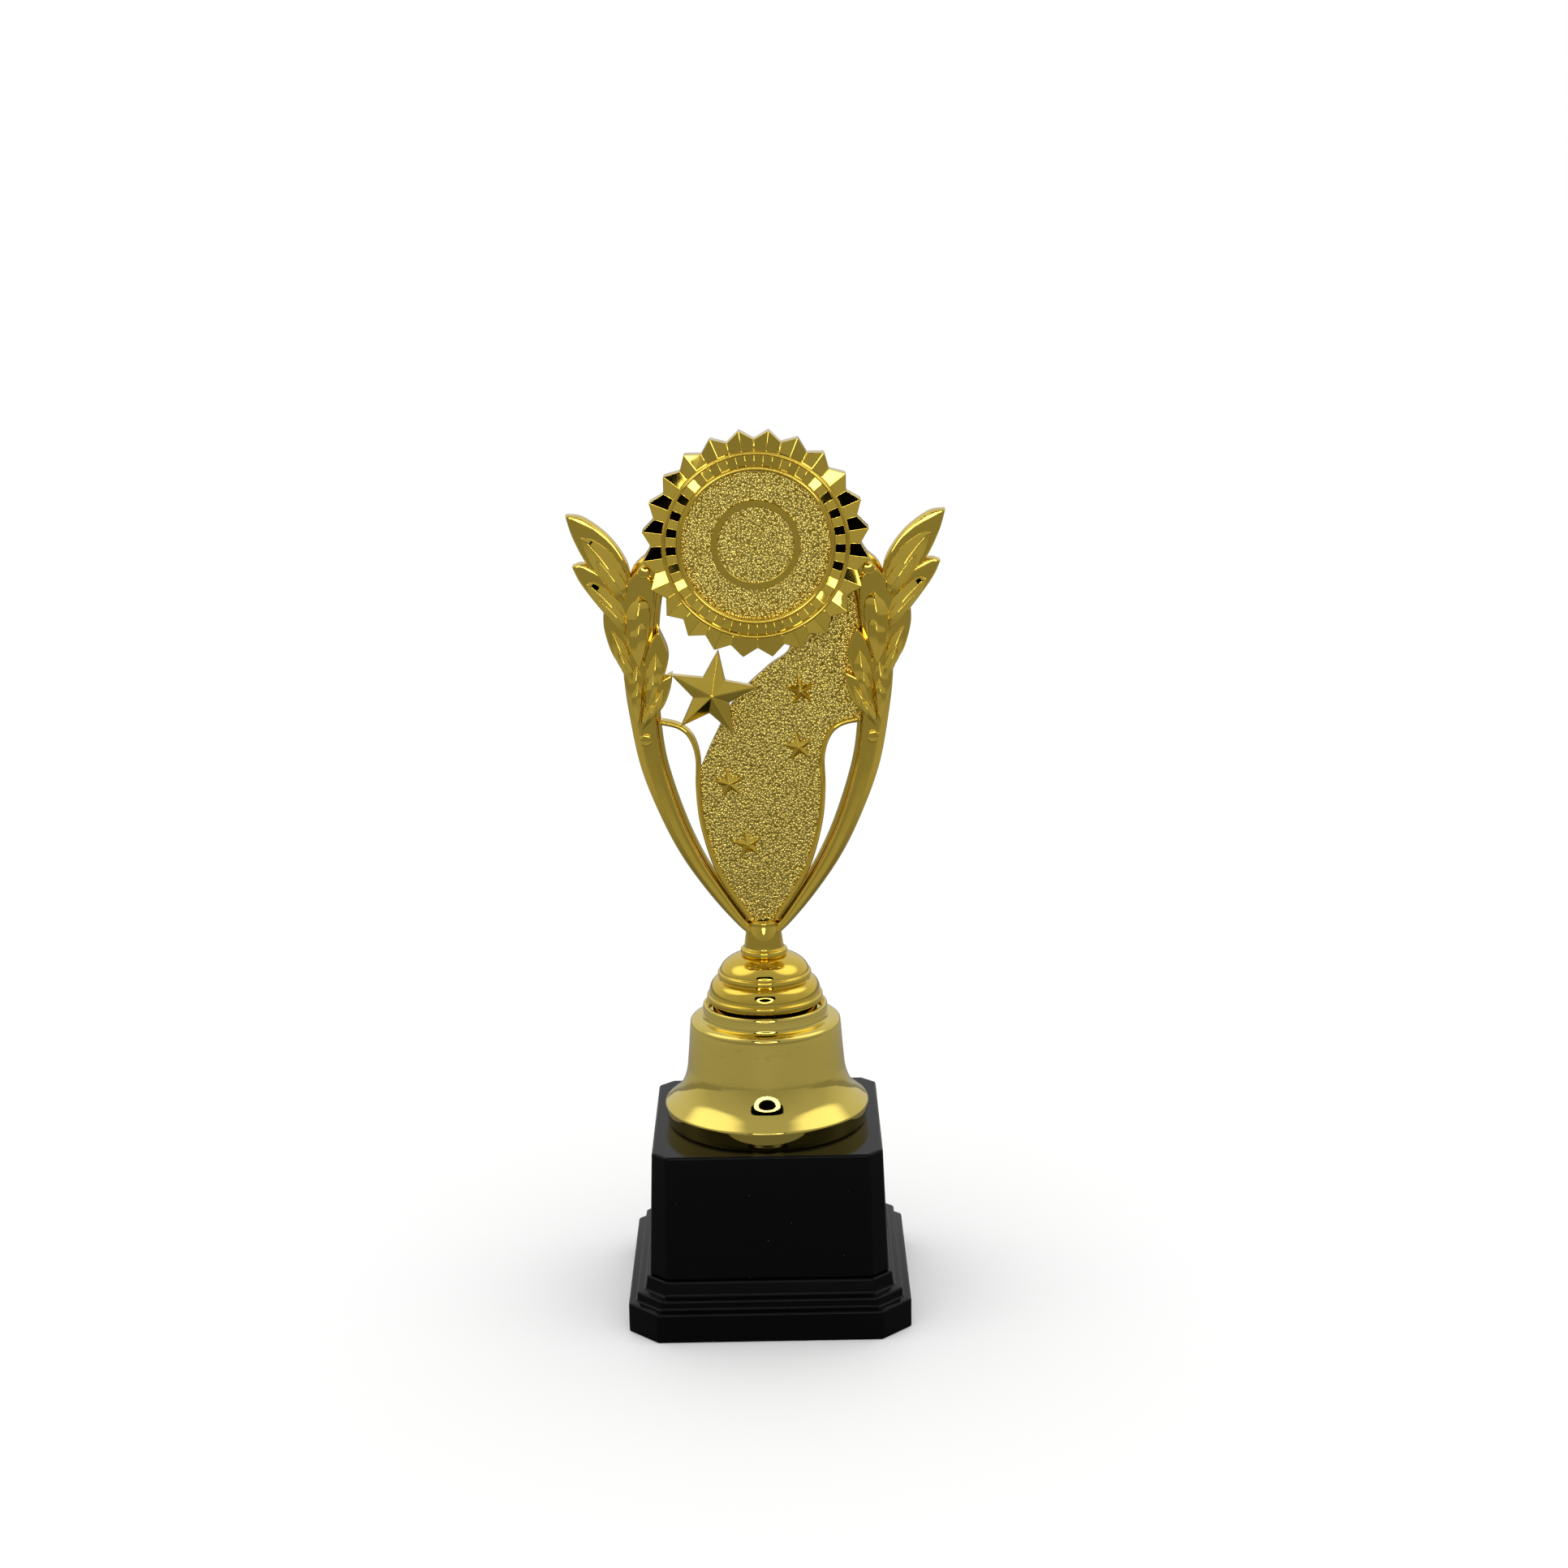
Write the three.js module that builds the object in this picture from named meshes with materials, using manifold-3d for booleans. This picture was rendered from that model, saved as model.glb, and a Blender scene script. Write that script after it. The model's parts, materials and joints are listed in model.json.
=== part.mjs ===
// Star trophy: a black plinth, a gold bell riser and collar, and a cup-shaped figure that carries a
// pleated rosette, laurel sprigs and stars, all clamped together by one threaded rod.
// Units are millimetres, +Z is up, the front faces -Y, and the origin is under the plinth's centre.
import * as THREE from 'three';
import { mergeVertices } from 'three/addons/utils/BufferGeometryUtils.js';
import Module from 'manifold-3d';

const wasm = await Module();
wasm.setup();

// ---- driving dimensions ---------------------------------------------------------------------

const GAP = 0.3; // air between two pieces that touch
const OVERCUT = 1; // how far a cutting tool reaches past what it cuts

const plinth = {
  footHalf: 40, // half the width of the foot
  footHeight: 8.5,
  footChamfer: 8.5, // corner cut, measured along each side
  ledgeSlope: 0.5, // rise of the nearly flat ledge above the foot
  stepInset: 2.4, // step edge, measured in from the foot
  stepHeight: 2.5,
  stepRound: [0.5, 0.7], // rounding of the step's edge, inwards and downwards
  bandInset: 4.8, // plain band under the block, measured in from the foot
  bandTaper: 0.6,
  bandHeight: 4.1,
  wall: 2.5,
  lipHeight: 3.4, // locating lip that the block drops over
  lipWall: 1.9,
};

const block = {
  inset: 0.85, // step from the skirt's band in to the block
  height: 35.9,
  taper: 1.3, // how far each side leans in
  wall: 2.5,
  edgeRound: 0.7,
  edgeStart: 0.3, // share of the edge rounding taken by its lower facet
  bossRadius: 6,
  ribThickness: 2,
  ribDepth: 6,
};

const rod = { radius: 2, belowNut: 2, intoInsert: 5.1, tip: 0.5 }; // tip is the chamfer at each end
const nut = { flats: 7, height: 3.2 };
const washer = { radius: 6, thickness: 1.2 };
const ballast = { margin: 1.8, thickness: 6 };

const bell = {
  footRadius: 28.2,
  lipRadius: 29.4,
  lipHeight: 4.9,
  lipLand: 0.9, // upright edge above the lip
  flareStart: [3.6, 3.8], // the flare's first control point, in and up from the lip
  flareEnd: [0.5, 6.6], // its second, out from the neck and up from the lip
  neckRadius: 22.6, // where the flare meets the wall
  flareHeight: 15.4,
  flareInside: [0.4, 4], // the inner flare's knee, out and down from the neck
  shoulderRadius: 21.6,
  wallHeight: 29.2,
  shoulderRise: 1.3,
  ringFoot: 2, // height of the ring's foot above the shoulder
  ringRound: [0.3, 1.2], // rounding of the ring's edge, inwards and downwards
  ringWidth: 1, // raised ring round the collar's seat
  ringHeight: 34.8,
  seatClearance: 1.9, // dark gap between the collar's foot and the seat's wall
  seatDepth: 1.9,
  wall: 2,
};

const collar = {
  footRadius: 15,
  footHeight: 2.4,
  lipOverhang: 1.6, // past the foot
  lipThickness: 2,
  lipRound: [0.5, 0.6], // rounding of the lip's edges, inwards and along the axis
  domeInset: 0.7, // lower dome, in from the lip
  domeHeight: 4.4,
  beadRadius: 13.4,
  beadHeight: 2.5,
  beadRound: [0.5, 0.7],
  topRadius: 6.9,
  height: 15.7,
  wall: 2,
};

const socket = {
  flangeRadius: 6.7,
  flangeHeight: 1.8,
  flangeRound: [0.5, 0.6],
  coneFoot: 5.7,
  coneTop: 4.4,
  height: 10.1,
};
const insert = { radius: 3.3, height: 6.1 };

const panel = {
  thickness: 3,
  rimWidth: 1.5,
  rimRise: 1, // how far the rims stand in front of the pebbled field
  tongueHalf: 2.5,
  tongueLength: 2.7,
  tongueThickness: 2.4,
  carrierRadius: 18, // round pad that the rosette is bonded to
};

const handle = { thickness: 6, faceInset: 0.7, edgeDepth: 1.2 }; // the face is inset by a rounded edge
const laurel = { frontStep: 0.2, relief: 2.9, overhang: 3.6 };

const rosette = {
  centre: [0, 108.8],
  teeth: 24,
  tipRadius: 31.3,
  valleyRadius: 28.7,
  toothThickness: 6.5,
  outerBead: [25.7, 24.6],
  innerBead: [21.8, 20.4],
  beadRise: 1.7,
  beadSlope: 0.6, // how far a bead's edges lie behind its crest
  bandRise: 0.6,
  ledgeWidth: 3, // ledge behind the disc
  ledgeThickness: 4.2,
};

const disc = { thickness: 1.4, ringOuter: 12.3, ringInner: 10.4, ringRise: 0.5, ringSlope: 0.2 };

const largeStar = {
  centre: [-13, 66.6],
  tipRadius: 12.5,
  notchRadius: 5.5,
  turn: -9, // degrees
  edgeThickness: 3,
  peakRise: 2.4,
  studRadius: 0.8,
  studAt: [0.68, 0.7], // places of the studs along the two right arms, as shares of the tip radius
};

const smallStar = { tipRadius: 4.4, notchRadius: 1.5, turn: 8, edgeRise: 0.5, peakRise: 1.1 };
const smallStarCentres = [[11.6, 66.6], [10.8, 50.5], [-8.8, 40.3], [-4, 22.6]];

const peg = { headRadius: 1.6, headRise: 0.9, headEdge: 0.2, shankRadius: 1 };
const pegPlaces = { upper: [30.9, 101.1], lower: [31.7, 53.4] };

// The figure's own frame: its heights are measured up from the socket's top.

// Right handle, from the socket up to behind the rosette.
const handleOuter = [
  [4, -4.3], [7.4, -1.3], [14.5, 7.1], [22.2, 18.3], [28.1, 30.1], [33.4, 44.5],
  [36.2, 59.1], [37.6, 72.1], [37.4, 88.1], [34.6, 100.9], [30.4, 105.7], [28.1, 110.1],
];
const handleInner = [
  [4.9, 0.9], [10.8, 9.9], [16.2, 18.9], [21.1, 30.1], [25.6, 44.5],
  [27.4, 56.1], [28, 72.1], [26.8, 90.1], [23.6, 105.1],
];

// Plain border of the cup-shaped panel, right side, then out along the loop to the handle.
const borderEdge = [
  [4.5, 0.4], [10.6, 9.7], [14.4, 17.7], [17.4, 29.1], [18.3, 39.1],
  [18.2, 47.5], [19.8, 53.1], [22.8, 56.1], [27, 57.4],
];
// Left edge of the pebbled field above the loop, rising to behind the rosette.
const fieldEdge = [[-16.9, 44.3], [-12.8, 53.4], [-6.5, 64.6], [2.5, 73.3], [8.6, 78.1], [9, 86.1], [6, 96.1]];

// Left laurel sprig: each leaf has a tip, a base, and the points that its two sides pass through.
const leaves = [
  { tip: [-52.1, 117], base: [-36.5, 93.6],
    left: [[-50.3, 110.9], [-46.7, 103.6], [-41.5, 96.6]],
    right: [[-47.5, 116.2], [-41, 111.4], [-36.4, 105.1], [-34.8, 99.1]] },
  { tip: [-50.7, 102.9], base: [-36.6, 84.1],
    left: [[-48.6, 98.4], [-44.1, 92.1], [-39.9, 87.1]],
    right: [[-47.5, 103.5], [-42.2, 100.2], [-37.6, 95.6], [-35.8, 90.1]] },
  { tip: [-42.4, 90.7], base: [-35, 69.1],
    left: [[-42.4, 85.6], [-40.5, 78.7], [-37.2, 73.4]],
    right: [[-39.5, 88.3], [-36.6, 83.9], [-34.2, 77.1]] },
  { tip: [-32.3, 102], base: [-32.9, 74.1],
    left: [[-36.5, 97.3], [-38.2, 91.1], [-37.5, 84.1]],
    right: [[-28.9, 99.1], [-28.2, 93.1], [-29.3, 85.9]] },
  { tip: [-27.4, 85], base: [-30.5, 62.1],
    left: [[-30.6, 79.4], [-32.4, 72.1], [-32.4, 66.1]],
    right: [[-25, 78.9], [-25.4, 74.1], [-28, 67.6]] },
  { tip: [-33.3, 82.6], base: [-33.4, 58.6],
    left: [[-36.9, 75.1], [-37, 69.1], [-34.8, 61.9]],
    right: [[-31.6, 76.1], [-31.9, 70.7], [-32.6, 64.1]] },
  { tip: [-24.9, 71.3], base: [-32.8, 56.7],
    left: [[-28.9, 69.5], [-32.4, 63.2]],
    right: [[-24.5, 68.3], [-26.6, 63.3], [-30.1, 59.6]] },
];

// ---- heights and depths that follow ---------------------------------------------------------

const stepTop = plinth.footHeight + plinth.ledgeSlope + plinth.stepHeight;
const bandTop = stepTop + plinth.ledgeSlope + plinth.bandHeight;
const blockFoot = bandTop + GAP;
const blockTop = blockFoot + block.height;
const bellFoot = blockTop + GAP;
const seatFloor = bellFoot + bell.ringHeight - bell.seatDepth;
const collarFoot = seatFloor + GAP;
const collarTop = collarFoot + collar.height;
const figureDatum = collarTop + GAP + socket.height; // the figure's zero height, the socket's top
const seatRadius = collar.footRadius + bell.seatClearance;
const ringRadius = seatRadius + bell.ringWidth;
const collarLipRadius = collar.footRadius + collar.lipOverhang;

const lipTop = bandTop + plinth.lipHeight;
const ballastFoot = lipTop + 2 * GAP;
const ballastTop = ballastFoot + ballast.thickness;
const washerTop = ballastFoot - GAP;
const nutTop = washerTop - washer.thickness - GAP;
const rodFoot = nutTop - nut.height - rod.belowNut;
const rodTop = collarTop + GAP + rod.intoInsert;
const rodHole = rod.radius + GAP;

const socketFoot = -socket.height; // in the figure's frame

const panelFront = -panel.thickness / 2;
const panelBack = panel.thickness / 2;
const rimFront = panelFront - panel.rimRise;
const handleFront = -handle.thickness / 2;
const rosetteBack = handleFront - GAP;
const toothFront = rosetteBack - rosette.toothThickness;
const laurelBack = handleFront - GAP;

// ---- materials ------------------------------------------------------------------------------

const goldPlate = new THREE.MeshStandardMaterial({ color: 0xb8962e, roughness: 0.16, metalness: 1 });
const goldPebble = new THREE.MeshStandardMaterial({ color: 0xb8a04a, roughness: 0.35, metalness: 1 });
const blackPlastic = new THREE.MeshStandardMaterial({ color: 0x0c0c0d, roughness: 0.28, metalness: 0 });
const zincSteel = new THREE.MeshStandardMaterial({ color: 0xa9adb0, roughness: 0.4, metalness: 1 });
const brass = new THREE.MeshStandardMaterial({ color: 0xb08d3c, roughness: 0.35, metalness: 1 });

// ---- solids and booleans --------------------------------------------------------------------

function toSolid(geometry) {
  const bare = geometry.clone();
  bare.deleteAttribute('normal');
  bare.deleteAttribute('uv');
  const merged = mergeVertices(bare, 1e-5);
  const mesh = new wasm.Mesh({
    numProp: 3,
    vertProperties: new Float32Array(merged.attributes.position.array),
    triVerts: new Uint32Array(merged.index.array),
  });
  mesh.merge();
  return new wasm.Manifold(mesh);
}

function toGeometry(solid) {
  const mesh = solid.getMesh();
  const geometry = new THREE.BufferGeometry();
  geometry.setAttribute('position', new THREE.BufferAttribute(new Float32Array(mesh.vertProperties), 3));
  geometry.setIndex(new THREE.BufferAttribute(new Uint32Array(mesh.triVerts), 1));
  geometry.computeVertexNormals();
  return geometry;
}

function join(...solids) {
  return solids.reduce((sum, solid) => sum.add(solid));
}

function cut(body, ...tools) {
  return tools.reduce((rest, tool) => rest.subtract(tool), body);
}

// ---- shape helpers --------------------------------------------------------------------------

// Points [x, z] on a smooth curve through the given ones.
function smooth(points, steps) {
  const curve = new THREE.SplineCurve(points.map(([x, z]) => new THREE.Vector2(x, z)));
  return curve.getPoints(steps).map((point) => [point.x, point.y]);
}

function mirrored(points) {
  return points.map(([x, z]) => [-x, z]);
}

// Each point of an open line moved sideways; a positive distance is to the left of its direction.
function offsetLine(points, distance) {
  return points.map(([x, z], i) => {
    const [x0, z0] = points[Math.max(i - 1, 0)];
    const [x1, z1] = points[Math.min(i + 1, points.length - 1)];
    const length = Math.hypot(x1 - x0, z1 - z0);
    return [x - (distance * (z1 - z0)) / length, z + (distance * (x1 - x0)) / length];
  });
}

// A slab with the outline [x, z] between the depths front and back, front being the lower y.
function slab(outline, front, back) {
  const shape = new THREE.Shape(outline.map(([x, z]) => new THREE.Vector2(x, z)));
  const geometry = new THREE.ExtrudeGeometry(shape, { depth: back - front, bevelEnabled: false });
  geometry.rotateX(Math.PI / 2);
  geometry.translate(0, back, 0);
  return toSolid(geometry);
}

// A solid turned about the vertical axis from a closed profile of [radius, z].
function turned(profile, segments = 40) {
  const points = profile.map(([r, z]) => new THREE.Vector2(r, z));
  const geometry = new THREE.LatheGeometry(points, segments);
  geometry.rotateX(Math.PI / 2);
  return toSolid(geometry);
}

// A solid turned about the front-to-back axis through [x, z]; its profile is [radius, depth].
function facing(profile, [x, z], segments = 48) {
  const points = profile.map(([r, y]) => new THREE.Vector2(r, -y));
  const geometry = new THREE.LatheGeometry(points, segments);
  geometry.rotateX(Math.PI);
  geometry.translate(x, 0, z);
  return toSolid(geometry);
}

function upright(radius, foot, top, segments = 32) {
  return turned([[0, foot], [radius, foot], [radius, top], [0, top]], segments);
}

function pin(radius, place, front, back, segments = 20) {
  return facing([[0, back], [radius, back], [radius, front], [0, front]], place, segments);
}

// Corner cut of the plinth at a given half width, so that every level is an offset of the foot.
function chamferAt(half) {
  return Math.max(plinth.footChamfer - (plinth.footHalf - half) * (2 - Math.SQRT2), 0.5);
}

// A stack of chamfered squares, listed upwards as [half width, z].
function plinthStack(levels) {
  const positions = [];
  const index = [];
  for (const [half, z] of levels) {
    const short = half - chamferAt(half);
    const ring = [
      [half, -short], [half, short], [short, half], [-short, half],
      [-half, short], [-half, -short], [-short, -half], [short, -half],
    ];
    ring.forEach(([x, y]) => positions.push(x, y, z));
  }
  const sides = 8;
  for (let level = 0; level + 1 < levels.length; level += 1) {
    for (let side = 0; side < sides; side += 1) {
      const next = (side + 1) % sides;
      const low = level * sides;
      const high = low + sides;
      index.push(low + side, low + next, high + next);
      index.push(low + side, high + next, high + side);
    }
  }
  const top = (levels.length - 1) * sides;
  for (let side = 1; side + 1 < sides; side += 1) {
    index.push(0, side + 1, side);
    index.push(top, top + side, top + side + 1);
  }
  const geometry = new THREE.BufferGeometry();
  geometry.setAttribute('position', new THREE.Float32BufferAttribute(positions, 3));
  geometry.setIndex(index);
  return toSolid(geometry);
}

// Points on a quarter-ellipse bulging outwards, from one [radius, z] to the next, both included.
function dome([r0, z0], [r1, z1], steps = 6) {
  const points = [];
  for (let i = 0; i <= steps; i += 1) {
    const angle = (i / steps) * (Math.PI / 2);
    points.push([r1 + (r0 - r1) * Math.cos(angle), z0 + (z1 - z0) * Math.sin(angle)]);
  }
  return points;
}

function starOutline([cx, cz], { tipRadius, notchRadius, turn }, grow = 0) {
  const outline = [];
  for (let i = 0; i < 10; i += 1) {
    const radius = i % 2 === 0 ? tipRadius + 3 * grow : notchRadius + grow;
    const angle = THREE.MathUtils.degToRad(90 + turn + i * 36);
    outline.push([cx + radius * Math.cos(angle), cz + radius * Math.sin(angle)]);
  }
  return outline;
}

// A five-pointed star with a faceted peak, turned by some degrees, on a slab of its own outline.
function star([cx, cz], spec, back, edgeFront, peakFront) {
  const outline = starOutline([cx, cz], spec);
  const positions = [cx, peakFront, cz, cx, back, cz];
  outline.forEach(([x, z]) => positions.push(x, edgeFront, z, x, back, z));
  const index = [];
  for (let i = 0; i < 10; i += 1) {
    const front = 2 + 2 * i;
    const nextFront = 2 + 2 * ((i + 1) % 10);
    index.push(0, front, nextFront);
    index.push(1, nextFront + 1, front + 1);
    index.push(front, front + 1, nextFront + 1, front, nextFront + 1, nextFront);
  }
  const geometry = new THREE.BufferGeometry();
  geometry.setAttribute('position', new THREE.Float32BufferAttribute(positions, 3));
  geometry.setIndex(index);
  return toSolid(geometry);
}

// ---- base -----------------------------------------------------------------------------------

function plinthSkirt() {
  const { footHalf, footHeight, ledgeSlope, stepInset, bandInset, bandTaper, wall } = plinth;
  const [roundIn, roundDown] = plinth.stepRound;
  const stepHalf = footHalf - stepInset;
  const bandHalf = footHalf - bandInset;
  const bandTopHalf = bandHalf - bandTaper;
  const lipHalf = bandTopHalf - block.inset - block.wall - GAP;
  const ledge = footHeight + ledgeSlope;
  const outside = plinthStack([
    [footHalf, 0], [footHalf, footHeight], [stepHalf, ledge], [stepHalf, stepTop - roundDown],
    [stepHalf - roundIn, stepTop], [bandHalf, stepTop + ledgeSlope], [bandTopHalf, bandTop],
    [lipHalf, bandTop], [lipHalf, lipTop],
  ]);
  const roof = bandTop - wall;
  const mouth = lipHalf - plinth.lipWall;
  const inside = plinthStack([
    [footHalf - wall, -OVERCUT], [footHalf - wall, footHeight - wall],
    [stepHalf - wall, footHeight - wall + ledgeSlope], [stepHalf - wall, ledge + ledgeSlope],
    [bandTopHalf - wall, roof], [mouth, roof], [mouth, lipTop + OVERCUT],
  ]);
  return cut(outside, inside);
}

function blockHalfAt(z) {
  const foot = plinth.footHalf - plinth.bandInset - plinth.bandTaper - block.inset;
  return foot - (block.taper * (z - blockFoot)) / block.height;
}

function plinthBlock() {
  const { wall, edgeRound, edgeStart, bossRadius, ribThickness, ribDepth } = block;
  const roof = blockTop - wall;
  const topHalf = blockHalfAt(blockTop);
  const outside = plinthStack([
    [blockHalfAt(blockFoot), blockFoot], [blockHalfAt(blockTop - edgeRound), blockTop - edgeRound],
    [topHalf - edgeStart * edgeRound, blockTop - edgeStart * edgeRound], [topHalf - edgeRound, blockTop],
  ]);
  const inside = plinthStack([
    [blockHalfAt(blockFoot) - wall, blockFoot - OVERCUT], [blockHalfAt(roof) - wall, roof],
  ]);
  const reach = 2 * (blockHalfAt(blockTop) - wall / 2);
  const ribMiddle = roof - ribDepth / 2 + wall / 4;
  const alongX = new THREE.BoxGeometry(reach, ribThickness, ribDepth + wall / 2).translate(0, 0, ribMiddle);
  const alongY = new THREE.BoxGeometry(ribThickness, reach, ribDepth + wall / 2).translate(0, 0, ribMiddle);
  const boss = upright(bossRadius, ballastTop + GAP, roof + wall / 2);
  const body = join(cut(outside, inside), boss, toSolid(alongX), toSolid(alongY));
  return cut(body, upright(rodHole, blockFoot, blockTop + OVERCUT));
}

function ballastPlate() {
  const half = blockHalfAt(ballastFoot) - block.wall - ballast.margin;
  const plate = plinthStack([[half, ballastFoot], [half, ballastTop]]);
  return cut(plate, upright(rodHole, ballastFoot - OVERCUT, ballastTop + OVERCUT));
}

function rodWasher() {
  const foot = washerTop - washer.thickness;
  return turned([[rodHole, foot], [washer.radius, foot], [washer.radius, washerTop], [rodHole, washerTop],
    [rodHole, foot]], 32);
}

function rodNut() {
  const foot = nutTop - nut.height;
  const hexagon = upright(nut.flats / Math.sqrt(3), foot, nutTop, 6);
  return cut(hexagon, upright(rodHole, foot - OVERCUT, nutTop + OVERCUT, 24));
}

function tieRod() {
  const { radius, tip } = rod;
  return turned([[0, rodFoot], [radius - tip, rodFoot], [radius, rodFoot + tip],
    [radius, rodTop - tip], [radius - tip, rodTop], [0, rodTop]], 24);
}

// ---- riser ----------------------------------------------------------------------------------

function bellRiser() {
  const { footRadius, lipRadius, lipHeight, lipLand, neckRadius, flareHeight, shoulderRadius, wall } = bell;
  const lip = bellFoot + lipHeight;
  const neck = bellFoot + flareHeight;
  const shoulder = bellFoot + bell.wallHeight;
  const ringTop = bellFoot + bell.ringHeight;
  const ringFoot = shoulder + bell.ringFoot;
  const [startIn, startUp] = bell.flareStart;
  const [endOut, endUp] = bell.flareEnd;
  const [kneeOut, kneeDown] = bell.flareInside;
  const [roundIn, roundDown] = bell.ringRound;
  const flare = new THREE.CubicBezierCurve(
    new THREE.Vector2(lipRadius, lip + lipLand),
    new THREE.Vector2(lipRadius - startIn, lip + startUp),
    new THREE.Vector2(neckRadius + endOut, lip + endUp),
    new THREE.Vector2(neckRadius, neck),
  ).getPoints(9).map((point) => [point.x, point.y]);
  const inside = [
    [rodHole, seatFloor - wall], [shoulderRadius - 3 * wall, seatFloor - wall],
    [shoulderRadius - wall, shoulder - wall], [neckRadius - wall, neck],
    [neckRadius + kneeOut - wall, neck - kneeDown], [lipRadius - 1.7 * wall, lip],
    [footRadius - wall, bellFoot],
  ];
  const crown = dome([shoulderRadius, shoulder], [ringRadius + 2 * roundIn, shoulder + bell.shoulderRise], 4);
  return turned([
    [footRadius - wall, bellFoot], [footRadius, bellFoot], [lipRadius, lip], ...flare, ...crown,
    [ringRadius, ringFoot], [ringRadius, ringTop - roundDown], [ringRadius - roundIn, ringTop - roundIn],
    [seatRadius, ringTop], [seatRadius, seatFloor], [rodHole, seatFloor], ...inside,
  ]);
}

function steppedCollar() {
  const { footRadius, footHeight, lipThickness, lipRound, domeInset, domeHeight, height, wall } = collar;
  const { beadRadius, beadHeight, beadRound, topRadius } = collar;
  const [lipIn, lipAlong] = lipRound;
  const [beadIn, beadAlong] = beadRound;
  const lipFoot = collarFoot + footHeight;
  const lipTopZ = lipFoot + lipThickness;
  const domeRadius = collarLipRadius - domeInset;
  const waist = lipTopZ + domeHeight;
  const beadTop = waist + beadHeight;
  const crownHeight = collarFoot + height - beadTop;
  const crown = [[-0.022, 0.07], [0.07, 0.23], [0.36, 0.57], [0.75, 0.89], [1, 1]].map(([inwards, up]) => (
    [beadRadius - beadIn + inwards * (topRadius - beadRadius + beadIn), beadTop + up * crownHeight]));
  return turned([
    [footRadius - wall, collarFoot], [footRadius, collarFoot], [footRadius, lipFoot],
    [collarLipRadius - lipIn, lipFoot], [collarLipRadius, lipFoot + lipAlong],
    [collarLipRadius, lipTopZ - lipAlong], [collarLipRadius - lipIn, lipTopZ],
    [domeRadius, lipTopZ + 0.05 * domeHeight], [domeRadius - 0.1, lipTopZ + 0.32 * domeHeight],
    [domeRadius - 0.8, waist - 0.27 * domeHeight], [beadRadius + beadIn, waist - 0.02 * domeHeight],
    [beadRadius - beadIn, waist], [beadRadius, waist + beadAlong], [beadRadius, beadTop - beadAlong],
    [beadRadius - beadIn, beadTop], ...crown,
    [rodHole, collarTop], [rodHole, collarTop - wall], [topRadius - 1, collarTop - wall],
    [beadRadius - wall, beadTop], [beadRadius - wall, waist], [footRadius - wall, lipTopZ],
    [footRadius - wall, collarFoot],
  ]);
}

// The socket's outside, grown by some clearance for what fits round it.
function socketCone(grow, top) {
  const { flangeRadius, flangeHeight, coneFoot, coneTop } = socket;
  const [roundIn, roundAlong] = socket.flangeRound;
  const coneStart = socketFoot + flangeHeight;
  const flange = flangeRadius + grow;
  return turned([
    [0, socketFoot], [flange - roundIn, socketFoot], [flange, socketFoot + roundAlong],
    [flange, coneStart - roundAlong], [flange - roundIn, coneStart],
    [coneFoot + grow, coneStart + 0.1], [coneTop + grow, top], [0, top],
  ], 40);
}

function figureSocket() {
  const bore = upright(insert.radius + GAP, socketFoot - OVERCUT, socketFoot + insert.height + GAP, 32);
  const slotHalf = panel.tongueHalf + GAP;
  const slotDepth = panel.tongueThickness + 2 * GAP;
  const slotHeight = panel.tongueLength + OVERCUT;
  const slot = new THREE.BoxGeometry(2 * slotHalf, slotDepth, slotHeight);
  slot.translate(0, 0, slotHeight / 2 - panel.tongueLength);
  return cut(socketCone(0, 0), bore, toSolid(slot));
}

function socketInsert() {
  const top = socketFoot + insert.height;
  return turned([[rodHole, socketFoot], [insert.radius, socketFoot], [insert.radius, top], [rodHole, top],
    [rodHole, socketFoot]], 32);
}

// ---- figure ---------------------------------------------------------------------------------

const borderLine = smooth(borderEdge, 36);
const innerLine = smooth(handleInner, 32);

function handleOutline(grow) {
  const outer = offsetLine(smooth(handleOuter, 33), -grow);
  const inner = offsetLine(innerLine, grow);
  return [...outer, ...inner.reverse()];
}

// An outline drawn for the right side, for the side asked for.
function onSide(side, outline) {
  return side > 0 ? outline : mirrored(outline).reverse();
}

// A side bar; side is 1 on the right and -1 on the left.
function sideHandle(side) {
  const { faceInset, edgeDepth } = handle;
  const core = slab(onSide(side, handleOutline(0)), handleFront + edgeDepth, -handleFront - edgeDepth);
  const faces = slab(onSide(side, handleOutline(-faceInset)), handleFront, -handleFront);
  const bar = join(core, faces);
  const holes = Object.values(pegPlaces).map(([x, z]) => (
    pin(peg.shankRadius + GAP, [side * x, z], handleFront - OVERCUT, -handleFront + OVERCUT)));
  return cut(bar, socketCone(GAP, GAP), ...holes);
}

// The pebbled field: up the right border and beside the handle, then back down its own left edge.
function fieldOutline() {
  const fieldLine = smooth(fieldEdge, 20);
  const topOfBorder = borderLine[borderLine.length - 1][1];
  const leftJoin = fieldLine[0][1];
  const besideHandle = offsetLine(innerLine, GAP).filter(([, z]) => z > topOfBorder + 0.5);
  const leftBorder = mirrored(borderLine).filter(([, z]) => z < leftJoin);
  return [...borderLine, ...besideHandle, ...fieldLine.reverse(), ...leftBorder.reverse()];
}

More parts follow.
